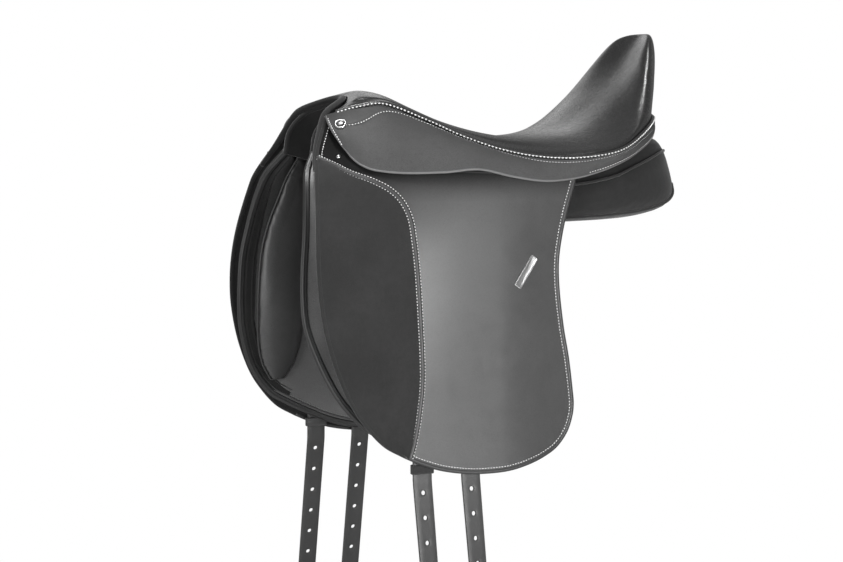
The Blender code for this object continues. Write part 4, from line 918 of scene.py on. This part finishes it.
    # ---- pommel button, stud, badge
    p = skirt_p(BUTTON_S, BUTTON_T, s, 0.0); n = skirt_n(BUTTON_S, BUTTON_T, s)
    ob = lathe("pommel_button_ring_" + word, [(0.0052, -0.0008), (0.0064, -0.0002), (0.0067, 0.0008), (0.0064, 0.0017), (0.0057, 0.0021), (0.0050, 0.0018), (0.0046, 0.0011), (0.0040, 0.0009),
               (0.0037, 0.0013), (0.0030, 0.0019), (0.0019, 0.0023), (0.0008, 0.0024)], 40, p, n, SILVER_M)
    ob.data.materials.append(BIND_M); c0 = Vector(p)
    for q in ob.data.polygons:
        if 0.0036 < (q.center - c0).length < 0.0050 and len(q.vertices) == 4: q.material_index = 1
    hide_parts("pommel_button_" + word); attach(ob, "base")
    x, z = 0.1385, 0.0625
    ob = lathe("flap_stud_dome_" + word, [(0.0018, -0.0006), (0.0026, 0.0002), (0.0025, 0.0008), (0.0019, 0.0014), (0.0010, 0.0018), (0.0003, 0.0019)], 24, face(x, z), bn(x, z, s), SILVER_M)
    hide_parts("flap_stud_" + word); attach(ob, "base")
    x, z = BADGE_X, BADGE_Z
    n = bn(x, z, s); d = Vector((math.cos(BADGE_TURN), 0, math.sin(BADGE_TURN))); d = (d - n * d.dot(n)).normalized(); w = n.cross(d)
    c = face(x, z, 0.0)
    def plate_ring(hl, hw, h, r=0.0016, c=c, d=d, w=w, n=n):
        pts = []
        for cx, cy, a0 in ((hl - r, hw - r, 0), (-hl + r, hw - r, 90), (-hl + r, -hw + r, 180), (hl - r, -hw + r, 270)):
            for k in range(6):
                a = math.radians(a0 + 18 * k)
                pts.append(c + d * (cx + r * math.cos(a)) + w * (cy + r * math.sin(a)) + n * h)
        return pts
    hl, hw = BADGE_L / 2, BADGE_W / 2
    ob = lofted("flap_badge_plate_" + word, [plate_ring(hl - 0.0003, hw - 0.0003, -0.0002), plate_ring(hl, hw, 0.0003), plate_ring(hl, hw, 0.0010), plate_ring(hl - 0.0004, hw - 0.0004, 0.0014),
                plate_ring(hl - 0.0012, hw - 0.0012, 0.0014), plate_ring(hl - 0.0015, hw - 0.0015, 0.0011)], SILVER_M)
    md = ob.modifiers.new("sharp", "BEVEL"); md.width = 0.00008; md.segments = 1; md.limit_method = "ANGLE"; bake(ob)
    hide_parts("flap_badge_" + word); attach(ob, fl)

    # ---- sweat flap
    WN, WM = 84, 120
    srow = coons(SWEAT_FRONT, SWEAT_BOT, SWEAT_REAR, list(reversed(SWEAT_TOP)), WN, WM)
    def sw(u, v, d, srow=srow, s=s):
        x, z = srow[int(round(v * WM))][int(round(u * WN))]
        return side((x, barrel(x, z) - sweat_in(x, z) - d, z), s)
    ob = sheet_between("sweat_leather_" + word, WN, WM, lambda u, v: sw(u, v, 0.0), lambda u, v: sw(u, v, SWEAT_T), SWEAT_M)
    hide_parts("sweat_flap_" + word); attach(ob, "base")
    def sface(x, z, h, s=s):
        """Point h outside (positive) or inside (negative) of the sweat flap's middle."""
        return side((x, barrel(x, z) - sweat_in(x, z) - SWEAT_T / 2 + h, z), s)
    edge = SWEAT_FRONT + SWEAT_BOT[1:] + list(reversed(SWEAT_REAR))[1:]
    ep = inset(resample(edge, 260), 0.0014, (0.03, -0.11))
    P = [sface(x, z, 0.0) for x, z in ep]; U = [bn(x, z, s) for x, z in ep]
    ob = sweep("sweat_rolled_edge_" + word, P, U, [((0.0040 + 0.0003 * math.cos(6 * a)) * math.cos(a), (0.0035 + 0.0003 * math.cos(6 * a)) * math.sin(a)) for a in [2 * math.pi * j / 36 for j in range(36)]], BIND_M)
    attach(ob, "base")
    part_of = {"a": SWEAT_FRONT, "b": SWEAT_FRONT, "c": SWEAT_FRONT, "d": SWEAT_FRONT[-3:] + SWEAT_BOT[1:]}
    for nm, ins, wd, ht, mat in (("a", 0.0100, 0.0095, 0.0009, SUEDE_M), ("b", 0.0075, 0.0020, 0.0018, LINING_M), ("c", 0.0150, 0.0016, 0.0017, LINING_M), ("d", 0.0068, 0.0011, 0.0012, EDGE_M)):
        lp = inset(resample(part_of[nm], 150), ins, (0.03, -0.11))
        U = [-bn(x, z, s) for x, z in lp]
        P = [sface(x, z, -SWEAT_T / 2) for x, z in lp]
        ob = sweep("sweat_inner_ridge_" + nm + "_" + word, P, U, lambda t, wd=wd, ht=ht, nm=nm: [(wd * math.cos(a) * (1 - (0.75 * sstep(0.86, 1.0, t) if nm != "d" else 0)), ht * math.sin(a)) for a in [2 * math.pi * j / 14 for j in range(14)]], mat)
        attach(ob, "base")
    lp = inset(resample(SWEAT_FRONT[-3:] + SWEAT_BOT[1:], 120), 0.0095, (0.03, -0.11))
    ob = stitches("sweat_stitches_" + word, [sface(x, z, -SWEAT_T / 2 - 0.0001) for x, z in lp], [-bn(x, z, s) for x, z in lp], 0.0034, THREAD_D, seed=14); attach(ob, "base")

    # ---- knee block
    rings = []
    for k in range(41):
        f = k / 40
        z = 0.012 - 0.182 * f
        x1 = 0.17
        for (xa, za), (xb, zb) in zip(FLAP_FRONT[:-1], FLAP_FRONT[1:]):
            if za >= z >= zb: x1 = xa + (xb - xa) * (za - z) / (za - zb)
        x1 -= 0.016
        fat = math.sin(math.pi * (f * 10.0 + 1.2) / 12.4) ** 0.6 if 0.0 < f < 1.0 else math.sin(math.pi * (f * 10.0 + 1.2) / 12.4) ** 0.6 * 0.6
        w = 0.050 * fat; x0 = x1 - w; rg = []
        for i in range(28):
            a = 2 * math.pi * i / 28
            ca, sa = math.cos(a), math.sin(a)
            cx = (x0 + x1) / 2 + math.copysign(abs(ca) ** 0.85, ca) * w / 2
            out = barrel(cx, z) - FLAP_T - 0.0045; inn = barrel(cx, z) - sweat_in(cx, z) + 0.0012
            mid = (out + inn) / 2; half = max(0.001, (out - inn) / 2) * fat
            rg.append(side((cx, mid + math.copysign(abs(sa) ** 0.85, sa) * half * 0.94, z), s))
        rings.append(rg)
    ob = lofted("knee_block_pad_" + word, rings, SUEDE_M)
    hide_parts("knee_block_" + word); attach(ob, "base")

    # ---- panel
    def pst(f):
        q = list(cr(PANEL, f)); back = sstep(0.62, 0.92, f)
        q[3] -= 0.0065 * back; q[2] += 0.004 * back; q[4] -= 0.0035 * sstep(0.86, 1.0, f)
        return q
    rings = []
    for k in range(97):
        q = pst(k / 96)
        e = 0.0010        # starts a little small, the stuffing fills it out
        rings.append([side(p, s) for p in section(q[0], q[1] + e, q[2] - e, q[3] + e, q[4] - e, 56, 2.6, q[5])])
    ob = lofted("panel_pad_" + word, rings, PANEL_M)
    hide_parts("panel_" + word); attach(ob, "base"); stuffed(ob, 0.0024)
    def panel_pt(f, ang, h=0.0, s=s):
        q = pst(f)
        y0, y1, z0, z1, tl = q[1:]
        c, sn = math.cos(ang), math.sin(ang)
        u = math.copysign(abs(c) ** (2 / 2.6), c); v = math.copysign(abs(sn) ** (2 / 2.6), sn)
        n = Vector((0, c / max(1e-3, (y1 - y0)), sn / max(1e-3, (z1 - z0)))).normalized()
        return side(Vector((q[0] + tl * v, (y0 + y1) / 2 + u * (y1 - y0) / 2, (z0 + z1) / 2 + v * (z1 - z0) / 2)) + n * h, s), side(n, s)
    for nm, ang, f0, f1 in (("top", 30, 0.30, 0.97), ("bottom", -50, 0.05, 0.985), ("inner", -140, 0.05, 0.95)):
        pts = [panel_pt(f0 + (f1 - f0) * i / 110, math.radians(ang), 0.0001) for i in range(111)]
        ob = sweep("panel_piping_" + nm + "_" + word, [p for p, n in pts], [n for p, n in pts], ring(0.0015, 10), LINING_M)
        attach(ob, "base")

    # ---- front leaf of the panel
    rings = []; edge_a, edge_b, na = [], [], []
    for k in range(61):
        x0, x1, z = cr(LEAF, k / 60)
        w = x1 - x0
        fat = 0.023 * math.sin(math.pi * (0.08 + 0.86 * k / 60)) ** 0.45
        rg = []
        for i in range(36):
            a = 2 * math.pi * i / 36
            ca, sa = math.cos(a), math.sin(a)
            cx = (x0 + x1) / 2 + math.copysign(abs(ca) ** 0.92, ca) * w / 2
            base = barrel(cx, z) - sweat_in(cx, z) - SWEAT_T - 0.0015
            rg.append(side((cx, base - fat / 2 + math.copysign(abs(sa) ** 0.8, sa) * fat / 2, z), s))
        rings.append(rg)
        edge_a.append(rg[0]); edge_b.append(rg[18]); na.append(side((0, -0.35, 0), s))
    ob = lofted("panel_leaf_pad_" + word, rings, LEAF_M)
    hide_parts("panel_leaf_" + word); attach(ob, "base"); stuffed(ob, 0.0018)
    loop = edge_a + list(reversed(edge_b))
    ob = sweep("leaf_piping_" + word, loop, [side((0.001, -1, 0), s)] * len(loop), ring(0.0013, 10), BIND_M, closed=True)
    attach(ob, "base")
    lq = [rg[2] for rg in rings]
    ob = stitches("leaf_front_stitches_" + word, [p + side((0, -0.0002, 0), s) for p in lq], [side((0.45, -1, 0), s).normalized()] * len(lq), 0.0036, THREAD_M, length=0.5, r=0.00042, seed=15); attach(ob, "base")

    # ---- billets: one strap from under the flap to its tip
    for nm, bx in (("front", BILLET_X[0]), ("rear", BILLET_X[1])):
        ym = barrel(bx, KEEPER_Z) - BILLET_IN - BILLET_T / 2
        def mid(d, bx=bx, ym=ym):
            """Middle of the strap's thickness at d along it (0 at the keeper), with its outward direction."""
            if d <= 0:
                z = KEEPER_Z - d
                y = barrel(bx, z) - BILLET_IN - BILLET_T / 2
                dy = (barrel(bx, z + 0.004) - barrel(bx, z - 0.004)) / 0.008
                return Vector((bx, y, z)), Vector((0, 1, -dy)).normalized()
            lean = TAIL_LEAN
            return Vector((bx, ym + math.sin(lean) * d, KEEPER_Z - math.cos(lean) * d)), Vector((0, math.cos(lean), math.sin(lean)))
        w, th = BILLET_W / 2, BILLET_T / 2
        V, F = [], []
        index = {}
        def vert(a, d, h, s=s, mid=mid, V=V, index=index):
            key = (round(a, 6), round(d, 6), h)
            if key not in index:
                p, n = mid(d)
                tw = -0.42 * min(1.0, max(0.0, d) / 0.26) if s > 0 else 0.0
                index[key] = len(V); V.append(side(p + (n * h + Vector((a, 0, 0))) @ Matrix.Rotation(tw, 3, "Z"), s))
            return index[key]
        cols = [-w, -w / 2, 0.0, w / 2, w]
        def quad(a0, a1, d0, d1, F=F, vert=vert, th=th):
            for h in (th, -th):
                F.append([vert(a0, d0, h), vert(a1, d0, h), vert(a1, d1, h), vert(a0, d1, h)])
        def wall(pa, pb, F=F, vert=vert, th=th):
            F.append([vert(pa[0], pa[1], th), vert(pb[0], pb[1], th), vert(pb[0], pb[1], -th), vert(pa[0], pa[1], -th)])
        ds = [-0.306 + 0.304 * i / 30 for i in range(31)]
        marks = [(0.0085 + HOLE_PITCH * (h + 0.15)) for h in range(HOLE_N)]
        cells = []
        cur = ds[-1]
        for c in marks:
            cells.append(("plain", cur, c - 0.009)); cells.append(("hole", c - 0.009, c + 0.009)); cur = c + 0.009
        end = TAIL_L - 0.012
        cells.append(("plain", cur, end))
        for d0, d1 in zip(ds[:-1], ds[1:]):
            for a0, a1 in zip(cols[:-1], cols[1:]): quad(a0, a1, d0, d1)
            wall((-w, d0), (-w, d1)); wall((w, d0), (w, d1))
        for kind, d0, d1 in cells:
            if kind == "plain":
                m = max(1, int((d1 - d0) / 0.008)); dd = [d0 + (d1 - d0) * i / m for i in range(m + 1)]
                for e0, e1 in zip(dd[:-1], dd[1:]):
                    for a0, a1 in zip(cols[:-1], cols[1:]): quad(a0, a1, e0, e1)
                    wall((-w, e0), (-w, e1)); wall((w, e0), (w, e1))
            else:
                dm = [d0 + (d1 - d0) * i / 4 for i in range(5)]
                rim_ = [(cols[i], d0) for i in range(4)] + [(w, dm[i]) for i in range(4)] + [(cols[4 - i], d1) for i in range(4)] + [(-w, dm[4 - i]) for i in range(4)]
                cd = (d0 + d1) / 2
                hole = []
                for a, d in rim_:
                    g = math.atan2(d - cd, a)
                    hole.append((HOLE_R * 1.0 * math.cos(g), cd + HOLE_R * math.sin(g)))
                ring2 = [((a * 0.35 + hx * 0.65), (d * 0.35 + hd * 0.65)) for (a, d), (hx, hd) in zip(rim_, hole)]
                for q0, q1 in ((rim_, ring2), (ring2, hole)):
                    for i in range(16):
                        j = (i + 1) % 16
                        for h in (th, -th):
                            F.append([vert(*q0[i], h), vert(*q0[j], h), vert(*q1[j], h), vert(*q1[i], h)])
                for i in range(16): wall(hole[i], hole[(i + 1) % 16])
                for i in range(4):
                    wall((-w, dm[i]), (-w, dm[i + 1])); wall((w, dm[i]), (w, dm[i + 1]))
        # pointed tip
        tip = [(-w, end), (-w * 0.86, end + 0.006), (-w * 0.55, end + 0.0105), (0.0, TAIL_L), (w * 0.55, end + 0.0105), (w * 0.86, end + 0.006), (w, end)]
        tipc = [(cols[0], end), (cols[1], end), (cols[2], end), (cols[3], end), (cols[4], end)]
        for h in (th, -th):
            F.append([vert(*tipc[0], h), vert(*tip[1], h), vert(*tipc[1], h)])
            F.append([vert(*tipc[1], h), vert(*tip[1], h), vert(*tip[2], h), vert(*tip[3], h), vert(*tipc[2], h)])
            F.append([vert(*tipc[2], h), vert(*tip[3], h), vert(*tip[4], h), vert(*tip[5], h), vert(*tipc[3], h)])
            F.append([vert(*tipc[3], h), vert(*tip[5], h), vert(*tipc[4], h)])
        for a, b in zip(tip[:-1], tip[1:]): wall(a, b)
        for a0, a1 in zip(cols[:-1], cols[1:]): wall((a0, ds[0]), (a1, ds[0]))
        ob = fix_normals(add_object("billet_" + nm + "_strap_" + word, V, F, STRAP_M))
        md = ob.modifiers.new("round", "BEVEL"); md.width = 0.0005; md.segments = 2; md.limit_method = "ANGLE"; md.angle_limit = math.radians(50)
        bake(ob)
        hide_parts("billet_%s_%s" % (nm, word), "billet_tail_%s_%s" % (nm, word))
        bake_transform(ob)
        # keeper: webbing loop with rounded corners
        kz = (KEEPER_Z + 0.0015 + (-0.272)) / 2 + (0.0055 if s > 0 else 0.0125); kh = 0.0105
        yk = barrel(bx, kz) - BILLET_IN - BILLET_T / 2
        lo = BILLET_W / 2 + 0.0005; hi = lo + 0.0013; din = BILLET_T / 2 + 0.0006; dout = din + 0.0017
        def rr(hx, hy, r, bx=bx, yk=yk):
            o = []
            for cx, cy, a0 in ((hx - r, hy - r, 0), (-hx + r, hy - r, 90), (-hx + r, -hy + r, 180), (hx - r, -hy + r, 270)):
                for k in range(5):
                    a = math.radians(a0 + 22.5 * k); o.append((bx + cx + r * math.cos(a), yk + cy + r * math.sin(a)))
            return o
        O, I = rr(hi, dout, 0.0014), rr(lo, din, 0.0004)
        mid_ = [((a[0] + b[0]) / 2, (a[1] + b[1]) / 2) for a, b in zip(O, I)]
        prof = [(O, -0.44), (O, -0.30), (O, 0.0), (O, 0.30), (O, 0.44), (mid_, 0.5), (I, 0.44), (I, 0.0), (I, -0.44), (mid_, -0.5)]
        V, F = [], []
        for rg, h in prof:
            V += [side((p[0], p[1], kz + kh * h), s) for p in rg]
        n_ = len(O)
        for a in range(len(prof)):
            b = (a + 1) % len(prof)
            for i in range(n_): F.append([a * n_ + i, a * n_ + (i + 1) % n_, b * n_ + (i + 1) % n_, b * n_ + i])
        ob = fix_normals(add_object("keeper_%s_loop_%s" % (nm, word), V, F, WEB_M))
        ob.data.materials.append(STRAP_M)
        for p in ob.data.polygons:
            if p.normal.y * s < -0.3 and (p.center.y * s) < yk: p.material_index = 1
        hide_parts("keeper_%s_%s" % (nm, word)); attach(ob, "base")

swell_pads()
